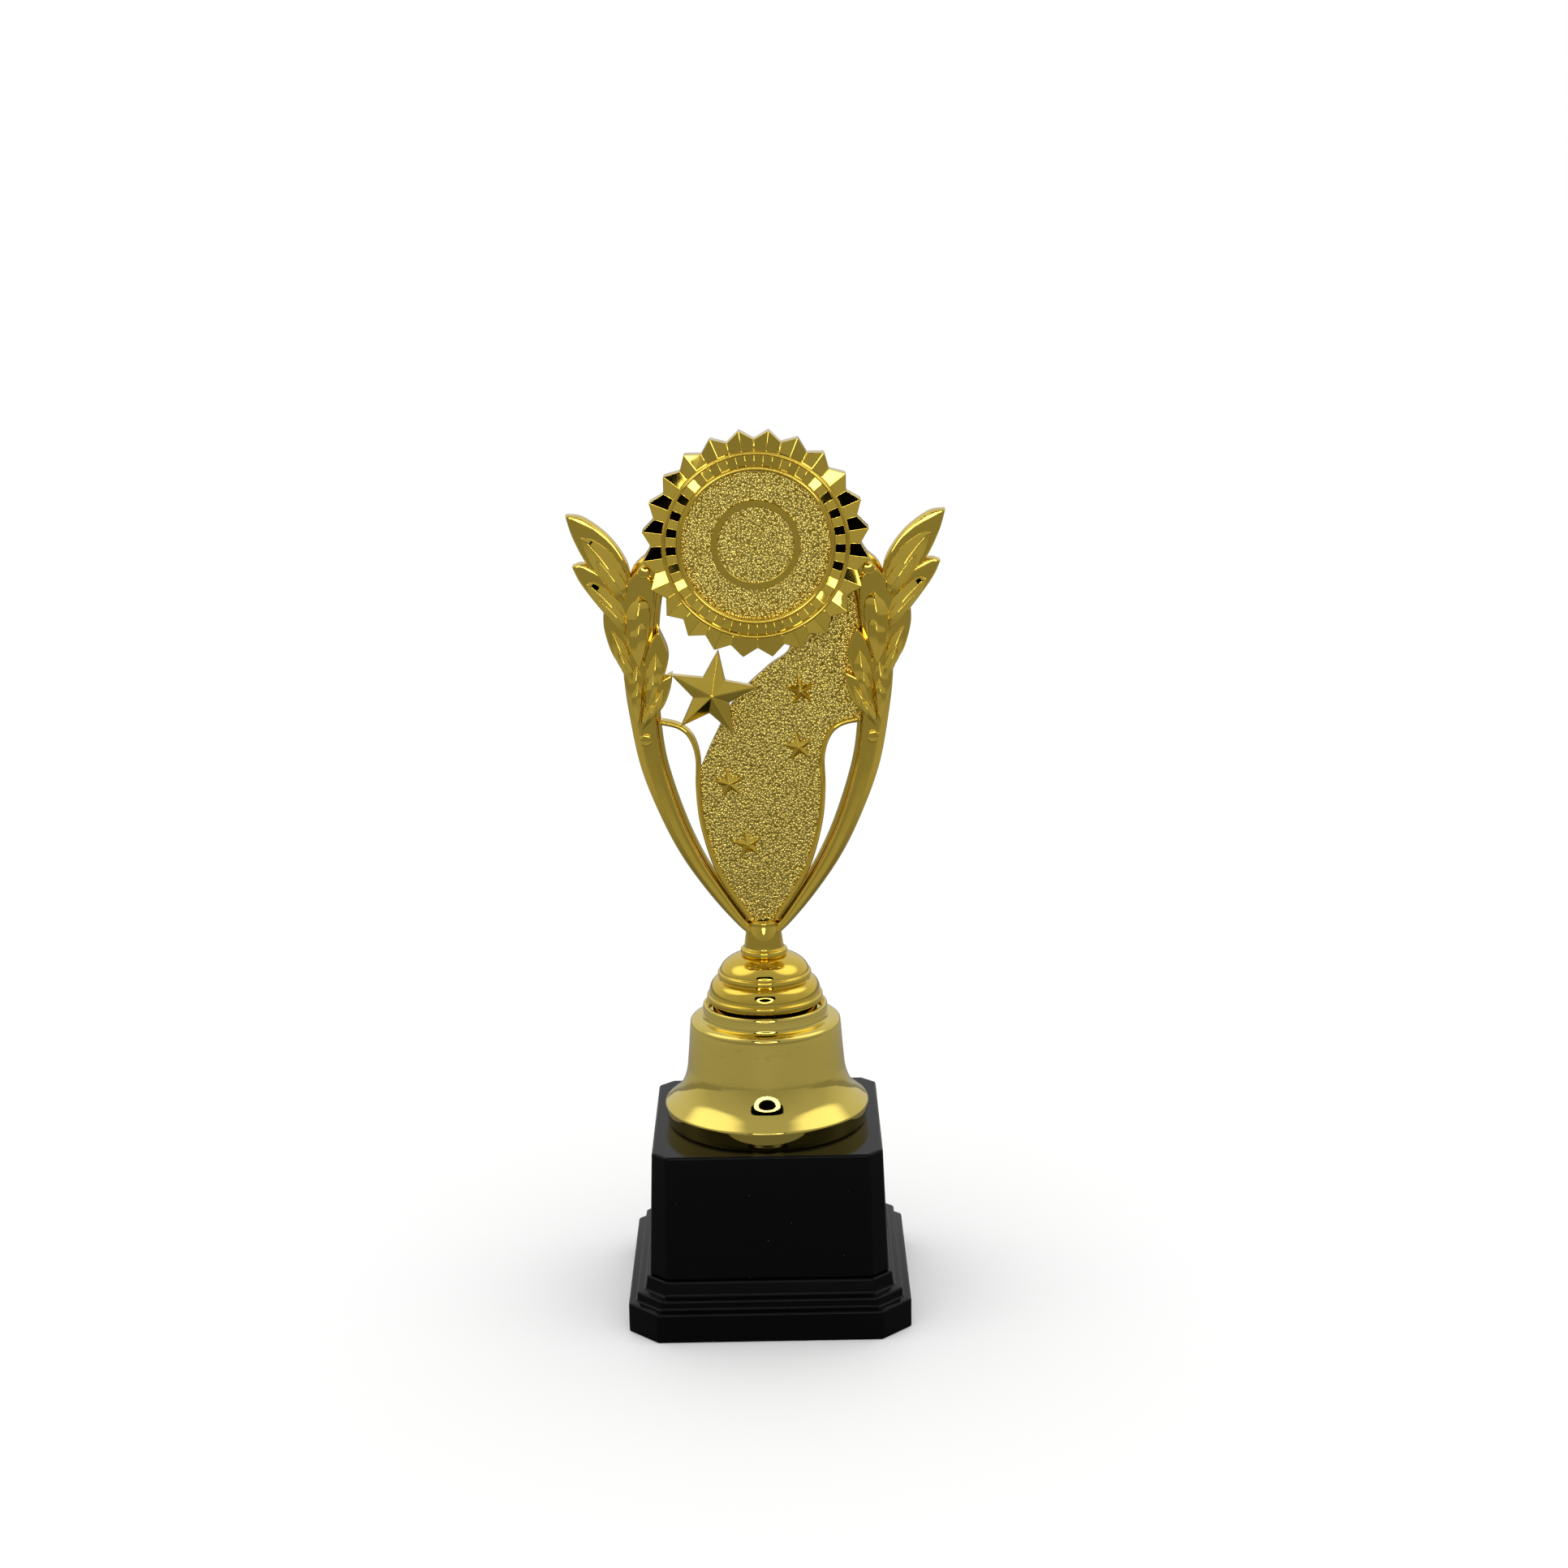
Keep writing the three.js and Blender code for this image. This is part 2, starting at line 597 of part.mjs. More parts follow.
function reliefPanel() {
  const { rimWidth, tongueHalf, tongueLength, tongueThickness, carrierRadius } = panel;
  const leftBorder = mirrored(borderLine);
  const rightRim = [...borderLine, ...offsetLine(borderLine, rimWidth).reverse()];
  const leftRim = [...leftBorder, ...offsetLine(leftBorder, -rimWidth).reverse()].reverse();
  const tongueHeight = tongueLength + rimWidth;
  const tongue = new THREE.BoxGeometry(2 * tongueHalf, tongueThickness, tongueHeight);
  tongue.translate(0, 0, GAP - tongueLength + tongueHeight / 2);
  const stars = smallStarCentres.map((place) => star(
    place, smallStar, 0, panelFront - smallStar.edgeRise, panelFront - smallStar.peakRise));
  const carrier = pin(carrierRadius, rosette.centre, handleFront, panelBack, 48);
  const rims = [rightRim, leftRim].map((outline) => slab(outline, rimFront, panelBack));
  return join(slab(fieldOutline(), panelFront, panelBack), ...rims, toSolid(tongue), carrier, ...stars);
}

function leafOutline({ tip, left, right, base }) {
  const down = smooth([tip, ...left, base], 10);
  const up = smooth([base, ...right.slice().reverse(), tip], 10);
  return [...down.slice(0, -1), ...up.slice(0, -1)];
}

// A laurel sprig: leaves in rising layers on the handle, their free edges reaching back beside it.
function laurelSprig(side) {
  const layers = leaves.map((leaf, i) => {
    const front = laurelBack - laurel.relief / 2 - i * laurel.frontStep;
    return slab(onSide(-side, leafOutline(leaf)), front, laurelBack + laurel.overhang);
  });
  const behind = 2 * handle.thickness;
  const onHandle = slab(onSide(side, handleOutline(2 * GAP)), laurelBack, behind);
  const onPanel = slab(fieldOutline(), panelFront - GAP, behind);
  const [x, z] = pegPlaces.upper;
  const pegHole = pin(peg.headRadius + GAP, [side * x, z], -behind, behind);
  const teeth = slab(toothedOutline(GAP), -behind, behind);
  const besideStar = slab(starOutline(largeStar.centre, largeStar, GAP), -behind, behind);
  return cut(join(...layers), onHandle, onPanel, pegHole, teeth, besideStar);
}

function lockingPeg(side, [x, z], headRise) {
  const headBack = handleFront - GAP;
  const { shankRadius, headRadius, headEdge } = peg;
  return facing([
    [0, -handleFront], [shankRadius, -handleFront], [shankRadius, headBack], [headRadius, headBack],
    ...dome([headRadius, headEdge - headBack], [0, headRise - headBack], 4).map(([r, y]) => [r, -y]),
  ], [side * x, z], 12);
}

// The rosette's outline, grown by some clearance; a valley is at the top.
function toothedOutline(grow) {
  const { centre, teeth, tipRadius, valleyRadius } = rosette;
  const outline = [];
  for (let i = 0; i < 2 * teeth; i += 1) {
    const radius = grow + (i % 2 === 0 ? valleyRadius : tipRadius);
    const angle = Math.PI / 2 + (i * Math.PI) / teeth;
    outline.push([centre[0] + radius * Math.cos(angle), centre[1] + radius * Math.sin(angle)]);
  }
  return outline;
}

function rosetteHolder() {
  const { centre, outerBead, innerBead, beadRise, beadSlope, bandRise } = rosette;
  const toothed = slab(toothedOutline(0), toothFront, rosetteBack);
  const bore = pin(innerBead[1], centre, toothFront - OVERCUT, rosetteBack + OVERCUT, 48);
  const beadFront = toothFront - beadRise;
  const beadEdge = beadFront + beadSlope;
  const bandFront = toothFront - bandRise;
  const ledgeInner = innerBead[1] - rosette.ledgeWidth;
  const crest = (bead) => (bead[0] + bead[1]) / 2;
  const rings = facing([
    [ledgeInner, rosetteBack], [outerBead[0], rosetteBack], [outerBead[0], beadEdge],
    [crest(outerBead), beadFront], [outerBead[1], beadEdge], [outerBead[1], bandFront],
    [innerBead[0], bandFront], [innerBead[0], beadEdge], [crest(innerBead), beadFront],
    [innerBead[1], beadEdge], [innerBead[1], rosetteBack - rosette.ledgeThickness],
    [ledgeInner, rosetteBack - rosette.ledgeThickness], [ledgeInner, rosetteBack],
  ], centre);
  return join(cut(toothed, bore), rings);
}

function rosetteDisc() {
  const radius = rosette.innerBead[1] - GAP;
  const back = rosetteBack - rosette.ledgeThickness - GAP;
  const front = back - disc.thickness;
  const ringFront = front - disc.ringRise;
  const { ringOuter, ringInner, ringSlope } = disc;
  return facing([
    [0, back], [radius, back], [radius, front], [ringOuter, front], [ringOuter - ringSlope, ringFront],
    [ringInner + ringSlope, ringFront], [ringInner, front], [0, front],
  ], rosette.centre);
}

function bigStar() {
  const { centre, tipRadius, turn, edgeThickness, peakRise, studRadius, studAt } = largeStar;
  const back = rimFront - GAP;
  const edge = back - edgeThickness;
  const body = star(centre, largeStar, back, edge, edge - peakRise);
  const rightArms = [-72, -144].map((degrees) => THREE.MathUtils.degToRad(90 + turn + degrees));
  const studs = rightArms.map((angle, i) => {
    const reach = studAt[i] * tipRadius;
    const place = [centre[0] + reach * Math.cos(angle), centre[1] + reach * Math.sin(angle)];
    return pin(studRadius, place, back - OVERCUT, panelFront - GAP, 12);
  });
  const teeth = slab(toothedOutline(GAP), 2 * edge, panelBack);
  return cut(join(body, ...studs), teeth);
}

// ---- assembly -------------------------------------------------------------------------------

function piece(name, solid, material) {
  const mesh = new THREE.Mesh(toGeometry(solid), material);
  mesh.name = name;
  return mesh;
}

const base = new THREE.Group();
base.add(
  piece('plinth_skirt', plinthSkirt(), blackPlastic),
  piece('plinth_block', plinthBlock(), blackPlastic),
  piece('ballast_plate', ballastPlate(), zincSteel),
  piece('rod_washer', rodWasher(), zincSteel),
  piece('rod_nut', rodNut(), zincSteel),
  piece('tie_rod', tieRod(), zincSteel),
);

const riser = new THREE.Group();
riser.add(
  piece('bell_riser', bellRiser(), goldPlate),
  piece('stepped_collar', steppedCollar(), goldPlate),
);

const figure = new THREE.Group();
figure.position.z = figureDatum;
figure.add(
  piece('figure_socket', figureSocket(), goldPlate),
  piece('socket_insert', socketInsert(), brass),
  piece('relief_panel', reliefPanel(), goldPebble),
  piece('rosette_holder', rosetteHolder(), goldPlate),
  piece('rosette_disc', rosetteDisc(), goldPebble),
  piece('large_star', bigStar(), goldPlate),
);
for (const [word, side] of [['left', -1], ['right', 1]]) {
  figure.add(
    piece(`${word}_handle`, sideHandle(side), goldPlate),
    piece(`${word}_laurel`, laurelSprig(side), goldPlate),
    piece(`${word}_upper_peg`, lockingPeg(side, pegPlaces.upper, 2 * peg.headRise), goldPlate),
    piece(`${word}_lower_peg`, lockingPeg(side, pegPlaces.lower, peg.headRise), goldPlate),
  );
}

const trophy = new THREE.Group();
trophy.add(base, riser, figure);

export default trophy;
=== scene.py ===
"""Star trophy: gold-plated plastic bell, collar and cup-shaped figure on a black plinth.

Sizes in the classes are millimetres. Heights are measured up from the floor and depths grow towards the back,
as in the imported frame. Meshes are made in metres.
"""

import json
import logging
import math
from collections.abc import Callable, Iterator, Sequence
from contextlib import contextmanager
from dataclasses import dataclass, field
from enum import Enum

import bmesh
import bpy
from mathutils import Matrix, Vector

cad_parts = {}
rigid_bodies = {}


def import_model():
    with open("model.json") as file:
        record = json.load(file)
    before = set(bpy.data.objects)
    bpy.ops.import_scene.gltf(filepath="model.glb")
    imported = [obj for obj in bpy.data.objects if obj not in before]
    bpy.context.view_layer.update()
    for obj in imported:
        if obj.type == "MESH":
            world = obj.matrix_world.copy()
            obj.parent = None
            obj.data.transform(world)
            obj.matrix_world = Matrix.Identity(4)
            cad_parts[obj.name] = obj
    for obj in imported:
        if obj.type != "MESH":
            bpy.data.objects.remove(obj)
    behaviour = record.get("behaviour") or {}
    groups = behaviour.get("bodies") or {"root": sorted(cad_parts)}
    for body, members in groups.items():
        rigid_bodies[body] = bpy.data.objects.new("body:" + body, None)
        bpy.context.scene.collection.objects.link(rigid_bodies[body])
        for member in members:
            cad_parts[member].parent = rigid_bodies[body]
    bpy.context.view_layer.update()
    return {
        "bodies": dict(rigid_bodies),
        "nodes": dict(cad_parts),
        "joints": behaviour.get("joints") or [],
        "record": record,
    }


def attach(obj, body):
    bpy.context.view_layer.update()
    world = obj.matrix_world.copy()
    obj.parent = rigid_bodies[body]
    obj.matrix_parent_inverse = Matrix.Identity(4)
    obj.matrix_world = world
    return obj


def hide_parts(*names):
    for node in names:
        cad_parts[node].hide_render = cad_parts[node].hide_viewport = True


LOG = logging.getLogger("star_trophy")
MM = 0.001
WELD_GAP = 0.002 * MM
ROOT = "root"

Point = tuple[float, float]


class Axis(Enum):
    """The two axes that pieces are turned about."""

    UP = "up"
    FRONT = "front"


class Side(Enum):
    """Left and right as seen from the front."""

    LEFT = -1
    RIGHT = 1


# ---- meshes ---------------------------------------------------------------------------------------


def deselect() -> None:
    """Deselects every object, the CAD nodes included."""
    bpy.ops.object.select_all(action="DESELECT")


def named(name: str) -> bpy.types.Object:
    """The object that an operator has just made, under its own name."""
    piece = bpy.context.active_object
    piece.name = name
    piece.data.name = name
    return piece


def make_active(piece: bpy.types.Object) -> None:
    """Selects one piece alone and makes it the active one."""
    deselect()
    piece.select_set(True)
    bpy.context.view_layer.objects.active = piece


@contextmanager
def editing(piece: bpy.types.Object, select: str = "SELECT") -> Iterator[None]:
    """Edit mode on one piece, with everything in it selected or deselected.

    Args:
        piece: The piece to edit.
        select: SELECT or DESELECT.
    """
    make_active(piece)
    bpy.ops.object.mode_set(mode="EDIT")
    bpy.ops.mesh.select_mode(type="VERT")
    bpy.ops.mesh.select_all(action=select)
    yield
    bpy.ops.object.mode_set(mode="OBJECT")


def select_faces(piece: bpy.types.Object, test: Callable[[bmesh.types.BMFace], bool]) -> None:
    """Selects, in edit mode, only the faces that pass a test of their place or normal."""
    bpy.ops.mesh.select_mode(type="FACE")
    bpy.ops.mesh.select_all(action="DESELECT")
    mesh = bmesh.from_edit_mesh(piece.data)
    for face in mesh.faces:
        face.select_set(test(face))
    bmesh.update_edit_mesh(piece.data)


def weld(piece: bpy.types.Object) -> None:
    """Merges doubled points, then turns every face outwards."""
    with editing(piece):
        bpy.ops.mesh.remove_doubles(threshold=WELD_GAP)
        bpy.ops.mesh.normals_make_consistent(inside=False)


def smooth(piece: bpy.types.Object, angle: float = 32.0) -> None:
    """Shades a piece smooth, with edges sharper than an angle in degrees kept crisp."""
    make_active(piece)
    bpy.ops.object.shade_smooth_by_angle(angle=math.radians(angle))


def apply(piece: bpy.types.Object, modifier: bpy.types.Modifier) -> None:
    """Applies one modifier of a piece."""
    make_active(piece)
    bpy.ops.object.modifier_apply(modifier=modifier.name)


def smooth_flats(piece: bpy.types.Object, angle: float = 50.0) -> None:
    """Shades the roundings of a piece smooth while its large faces stay flat.

    Args:
        piece: The piece, its edges rounded.
        angle: Edges sharper than this, in degrees, stay crisp.
    """
    smooth(piece, angle)
    flats = piece.modifiers.new("flat faces", "WEIGHTED_NORMAL")
    flats.keep_sharp = True
    flats.weight = 100
    apply(piece, flats)


def round_edges(piece: bpy.types.Object, width: float, segments: int, angle: float) -> None:
    """Rounds the edges of a piece that are sharper than an angle.

    Args:
        piece: The piece to finish.
        width: Width of the rounding in millimetres.
        segments: Facets across the rounding.
        angle: Edges sharper than this, in degrees, are rounded.
    """
    bevel = piece.modifiers.new("edge rounding", "BEVEL")
    bevel.width = width * MM
    bevel.segments = segments
    bevel.limit_method = "ANGLE"
    bevel.angle_limit = math.radians(angle)
    bevel.use_clamp_overlap = True
    apply(piece, bevel)


def turned(
    name: str,
    profile: Sequence[Point],
    axis: Axis = Axis.UP,
    centre: Point = (0.0, 0.0),
    sides: int = 96,
    closed: bool = False,
) -> bpy.types.Object:
    """Turns a profile by extruding a ring of edges and resizing it at each level.

    Args:
        name: Name of the new piece.
        profile: Radius and place along the axis at each level; along FRONT, the place is the depth.
        axis: The axis that the profile is turned about.
        centre: For FRONT, the x and height that the axis goes through.
        sides: Number of sides.
        closed: Whether the last level joins the first, as in a ring; otherwise both ends are capped.

    Returns:
        The finished solid.
    """
    front = axis is Axis.FRONT

    def at(level: float) -> Vector:
        """The point of the axis at a level."""
        if front:
            return Vector((centre[0], level, centre[1])) * MM
        return Vector((0.0, 0.0, level)) * MM

    first_radius, first_level = profile[0]
    deselect()
    bpy.ops.mesh.primitive_circle_add(
        vertices=sides,
        radius=first_radius * MM,
        fill_type="NOTHING",
        location=at(first_level),
        rotation=(math.pi / 2 if front else 0.0, 0.0, 0.0),
    )
    piece = named(name)
    bpy.ops.object.transform_apply(location=True, rotation=True, scale=True)
    levels = list(profile) + ([profile[0]] if closed else [])
    with editing(piece):
        for (radius, level), (next_radius, next_level) in zip(levels, levels[1:]):
            step = at(next_level) - at(level)
            bpy.ops.mesh.extrude_edges_move(TRANSFORM_OT_translate={"value": step})
            share = next_radius / radius
            size = (share, 1.0, share) if front else (share, share, 1.0)
            bpy.ops.transform.resize(value=size, center_override=at(next_level))
        if not closed:
            bpy.ops.mesh.select_all(action="SELECT")
            bpy.ops.mesh.fill_holes(sides=0)
    weld(piece)
    return piece


def shaped_grid(name: str, places: Sequence[Sequence[Vector]]) -> bpy.types.Object:
    """A grid whose points are put in place row by row.

    Args:
        name: Name of the new piece.
        places: Rows of points in millimetres, all of the same length.

    Returns:
        The sheet, with doubled points still in it.
    """
    rows, columns = len(places) - 1, len(places[0]) - 1
    deselect()
    bpy.ops.mesh.primitive_grid_add(x_subdivisions=columns, y_subdivisions=rows, size=MM)
    piece = named(name)
    flat = [value * MM for row in places for point in row for value in point]
    piece.data.vertices.foreach_set("co", flat)
    piece.data.update()
    return piece


def lofted(name: str, rings: Sequence[Sequence[Vector]], closed: bool = False) -> bpy.types.Object:
    """A solid through closed rings of points.

    Args:
        name: Name of the new piece.
        rings: Rings of points in millimetres, all of the same length.
        closed: Whether the last ring joins the first; otherwise both ends are capped.

    Returns:
        The finished solid.
    """
    rows = [list(ring) + [ring[0]] for ring in rings]
    if closed:
        rows.append(rows[0])
    piece = shaped_grid(name, rows)
    weld(piece)
    if not closed:
        with editing(piece):
            bpy.ops.mesh.fill_holes(sides=0)
        weld(piece)
    return piece


def close_behind(piece: bpy.types.Object, back: float) -> None:
    """Gives an open front sheet its walls and a flat back.

    Args:
        piece: The sheet, facing the front.
        back: Depth of the flat back in millimetres.
    """
    with editing(piece):
        bpy.ops.mesh.remove_doubles(threshold=WELD_GAP)
        bpy.ops.mesh.select_all(action="DESELECT")
        bpy.ops.mesh.select_non_manifold(extend=False)
        bpy.ops.mesh.extrude_edges_move()
        bpy.ops.transform.resize(value=(1.0, 0.0, 1.0), center_override=(0.0, back * MM, 0.0))
        bpy.ops.mesh.edge_face_add()
    weld(piece)


def joined(name: str, parts: Sequence[bpy.types.Object]) -> bpy.types.Object:
    """Joins parts of one moulding into one piece."""
    deselect()
    for part in parts:
        part.select_set(True)
    bpy.context.view_layer.objects.active = parts[0]
    bpy.ops.object.join()
    return named(name)


def roughened(piece: bpy.types.Object, size: float, height: float) -> None:
    """Raises a procedural grain on a piece towards the front.

    Args:
        piece: The piece, whose fine grid carries the grain.
        size: Size of the grains in millimetres.
        height: Full height of the grain in millimetres.
    """
    texture = bpy.data.textures.new(f"{piece.name}_grain", "CLOUDS")
    texture.noise_scale = size * MM
    texture.noise_depth = 1
    texture.contrast = 1.6
    grain = piece.modifiers.new("grain", "DISPLACE")
    grain.texture = texture
    grain.texture_coords = "LOCAL"
    grain.direction = "Y"
    grain.mid_level = 0.5
    grain.strength = -height * MM
    apply(piece, grain)


# ---- lines ----------------------------------------------------------------------------------------


@dataclass(frozen=True)
class Line:
    """A smooth line through points of the front view, each an x and a height."""

    points: tuple[Point, ...]

    def at(self, share: float) -> Vector:
        """The point at a share of the way, counted in points."""
        spans = len(self.points) - 1
        place = min(max(share, 0.0), 1.0) * spans
        i = min(int(place), spans - 1)
        t = place - i
        p0, p1, p2, p3 = (Vector(self.points[min(max(i + k, 0), spans)]) for k in (-1, 0, 1, 2))
        v0 = (p2 - p0) / 2
        v1 = (p3 - p1) / 2
        return (2 * p1 - 2 * p2 + v0 + v1) * t**3 + (3 * p2 - 3 * p1 - 2 * v0 - v1) * t**2 + v0 * t + p1

    def evenly(self, count: int) -> list[Vector]:
        """Points at equal distances along the line."""
        fine = [self.at(i / 400) for i in range(401)]
        reach = [0.0]
        for a, b in zip(fine, fine[1:]):
            reach.append(reach[-1] + (b - a).length)
        found: list[Vector] = []
        k = 0
        for i in range(count):
            wanted = reach[-1] * i / (count - 1)
            while k < 399 and reach[k + 1] < wanted:
                k += 1
            span = max(reach[k + 1] - reach[k], 1e-9)
            found.append(fine[k].lerp(fine[k + 1], min((wanted - reach[k]) / span, 1.0)))
        return found

    def x_at(self, height: float) -> float:
        """The x of a line that only rises, at a height."""
        fine = [self.at(i / 200) for i in range(201)]
        for a, b in zip(fine, fine[1:]):
            if a.y <= height <= b.y:
                return a.x + (b.x - a.x) * (height - a.y) / max(b.y - a.y, 1e-9)
        return fine[0].x if height < fine[0].y else fine[-1].x


# ---- nodes and finishes ---------------------------------------------------------------------------


def linear(colour: str) -> tuple[float, float, float, float]:
    """The linear RGBA of an sRGB colour written as #rrggbb."""
    channels = [int(colour[i : i + 2], 16) / 255 for i in (1, 3, 5)]
    red, green, blue = (c / 12.92 if c <= 0.04045 else ((c + 0.055) / 1.055) ** 2.4 for c in channels)
    return (red, green, blue, 1.0)


def per(size: float) -> float:
    """The texture scale that gives features of a size in millimetres."""
    return 1.0 / (size * MM)


def add_node(
    tree: bpy.types.NodeTree,
    kind: str,
    values: dict[str, object] | None = None,
    links: dict[str, bpy.types.NodeSocket] | None = None,
    **settings: object,
) -> bpy.types.Node:
    """Adds a node with its settings, socket values and links.

    Args:
        tree: The tree to add to.
        kind: The node's type.
        values: Values of unlinked input sockets, by name or by number as text.
        links: Output sockets to link to the inputs, by name or by number as text.
        settings: Properties of the node itself.

    Returns:
        The node.
    """
    node = tree.nodes.new(kind)
    for name, value in settings.items():
        setattr(node, name, value)
    for name, value in (values or {}).items():
        node.inputs[int(name) if name.isdigit() else name].default_value = value
    for name, socket in (links or {}).items():
        tree.links.new(socket, node.inputs[int(name) if name.isdigit() else name])
    return node


def blank(name: str) -> tuple[bpy.types.Material, bpy.types.NodeTree, bpy.types.Node, bpy.types.NodeSocket]:
    """A new material with its tree, its shader and the piece's own coordinates."""
    material = bpy.data.materials.new(name)
    material.use_nodes = True
    tree = material.node_tree
    shader = tree.nodes["Principled BSDF"]
    place = add_node(tree, "ShaderNodeTexCoord").outputs["Object"]
    return material, tree, shader, place


@dataclass(frozen=True)
class GoldPlate:
    """Vacuum-metallised ABS under a gold lacquer: a mirror with the faint waviness of the moulding.

    The lacquer varies a little in tint, and handling leaves faint haze, so the gloss is never quite even.
    """

    name: str = "gold_plated_abs"
    colour: str = "#e9cc58"
    tint: str = "#dfbe47"
    gloss: Point = (0.02, 0.06)
    haze_size: float = 9.0
    wave_size: float = 5.0
    wave_height: float = 0.02

    def material(self) -> bpy.types.Material:
        """The finish as a material."""
        material, tree, shader, place = blank(self.name)
        haze = add_node(
            tree, "ShaderNodeTexNoise", {"Scale": per(self.haze_size), "Detail": 4.0}, {"Vector": place}
        )
        low, high = self.gloss
        rough = add_node(
            tree,
            "ShaderNodeMapRange",
            {"From Min": 0.35, "From Max": 0.75, "To Min": low, "To Max": high},
            {"Value": haze.outputs["Fac"]},
        )
        tint = add_node(
            tree,
            "ShaderNodeMix",
            {"6": linear(self.colour), "7": linear(self.tint)},
            {"0": haze.outputs["Fac"]},
            data_type="RGBA",
        )
        wave = add_node(
            tree, "ShaderNodeTexNoise", {"Scale": per(self.wave_size), "Detail": 1.0}, {"Vector": place}
        )
        bump = add_node(
            tree,
            "ShaderNodeBump",
            {"Strength": 1.0, "Distance": self.wave_height * MM},
            {"Height": wave.outputs["Fac"]},
        )
        shader.inputs["Metallic"].default_value = 1.0
        tree.links.new(tint.outputs[2], shader.inputs["Base Color"])
        tree.links.new(rough.outputs["Result"], shader.inputs["Roughness"])
        tree.links.new(bump.outputs["Normal"], shader.inputs["Normal"])
        return material


@dataclass(frozen=True)
class GoldSatin:
    """The same gold on the bell: a rubbed, paler wall above a bright flare, with fine handling marks."""

    name: str = "gold_plated_abs_rubbed"
    colour: str = "#e4cd66"
    worn: str = "#b9a24a"
    bright: float = 0.03
    satin: float = 0.18
    flare_top: float = 68.1
    shoulder: float = 80.5
    mark_size: float = 5.0
    mark_depth: float = 0.012

    def material(self) -> bpy.types.Material:
        """The finish as a material."""
        material, tree, shader, place = blank(self.name)
        split = add_node(tree, "ShaderNodeSeparateXYZ", links={"Vector": place})
        above = add_node(
            tree,
            "ShaderNodeMapRange",
            {"From Min": (self.flare_top - 0.5) * MM, "From Max": (self.flare_top + 0.5) * MM},
            {"Value": split.outputs["Z"]},
        )
        below = add_node(
            tree,
            "ShaderNodeMapRange",
            {
                "From Min": (self.shoulder - 0.8) * MM,
                "From Max": (self.shoulder + 0.8) * MM,
                "To Min": 1.0,
                "To Max": 0.0,
            },
            {"Value": split.outputs["Z"]},
        )
        wall = add_node(
            tree, "ShaderNodeMath", links={"0": above.outputs[0], "1": below.outputs[0]}, operation="MULTIPLY"
        )
        rough = add_node(
            tree,
            "ShaderNodeMapRange",
            {"To Min": self.bright, "To Max": self.satin},
            {"Value": wall.outputs[0]},
        )
        stretch = add_node(tree, "ShaderNodeMapping", {"Scale": (1.0, 1.0, 2.6)}, {"Vector": place})
        marks = add_node(
            tree,
            "ShaderNodeTexNoise",
            {"Scale": per(self.mark_size), "Detail": 6.0, "Roughness": 0.7},
            {"Vector": stretch.outputs[0]},
        )
        rub = add_node(
            tree,
            "ShaderNodeMapRange",
            {"From Min": 0.58, "From Max": 0.78, "To Min": 0.0, "To Max": 0.75},
            {"Value": marks.outputs["Fac"]},
        )
        worn = add_node(
            tree, "ShaderNodeMath", links={"0": rub.outputs[0], "1": wall.outputs[0]}, operation="MULTIPLY"
        )
        tint = add_node(
            tree,
            "ShaderNodeMix",
            {"6": linear(self.colour), "7": linear(self.worn)},
            {"0": worn.outputs[0]},
            data_type="RGBA",
        )
        bump = add_node(
            tree,
            "ShaderNodeBump",
            {"Strength": 1.0, "Distance": self.mark_depth * MM},
            {"Height": marks.outputs["Fac"]},
        )
        shader.inputs["Metallic"].default_value = 1.0
        tree.links.new(tint.outputs[2], shader.inputs["Base Color"])
        tree.links.new(rough.outputs[0], shader.inputs["Roughness"])
        tree.links.new(bump.outputs["Normal"], shader.inputs["Normal"])
        return material


@dataclass(frozen=True)
class GoldPebble:
    """Gold plate over a spark-eroded mould texture: small domed grains that each catch their own light."""

    name: str = "gold_plated_pebble"
    # colour is painted on the grain tops as a painted highlight; hollow is painted between the grains as painted
    # shade
    colour: str = "#f3df80"
    hollow: str = "#b2932c"
    grain: float = 0.66
    slope: float = 0.42
    gloss: float = 0.1

    def material(self) -> bpy.types.Material:
        """The finish as a material."""
        material, tree, shader, place = blank(self.name)
        cells = add_node(tree, "ShaderNodeTexVoronoi", {"Scale": per(self.grain)}, {"Vector": place})
        dome_and_painted_light = cells.outputs["Distance"]
        # painted light: paler on the grain tops as a painted highlight, darker between the grains as painted shade
        tint = add_node(
            tree,
            "ShaderNodeMix",
            {"6": linear(self.colour), "7": linear(self.hollow)},
            {"0": dome_and_painted_light},
            data_type="RGBA",
        )
        dome = add_node(
            tree, "ShaderNodeMath", links={"0": dome_and_painted_light, "1": dome_and_painted_light}, operation="MULTIPLY"
        )
        bump = add_node(
            tree,
            "ShaderNodeBump",
            {"Strength": 1.0, "Distance": self.slope * self.grain * MM},
            {"Height": dome.outputs[0]},
            invert=True,
        )
        shader.inputs["Metallic"].default_value = 1.0
        shader.inputs["Roughness"].default_value = self.gloss
        tree.links.new(tint.outputs[2], shader.inputs["Base Color"])
        tree.links.new(bump.outputs["Normal"], shader.inputs["Normal"])
        return material


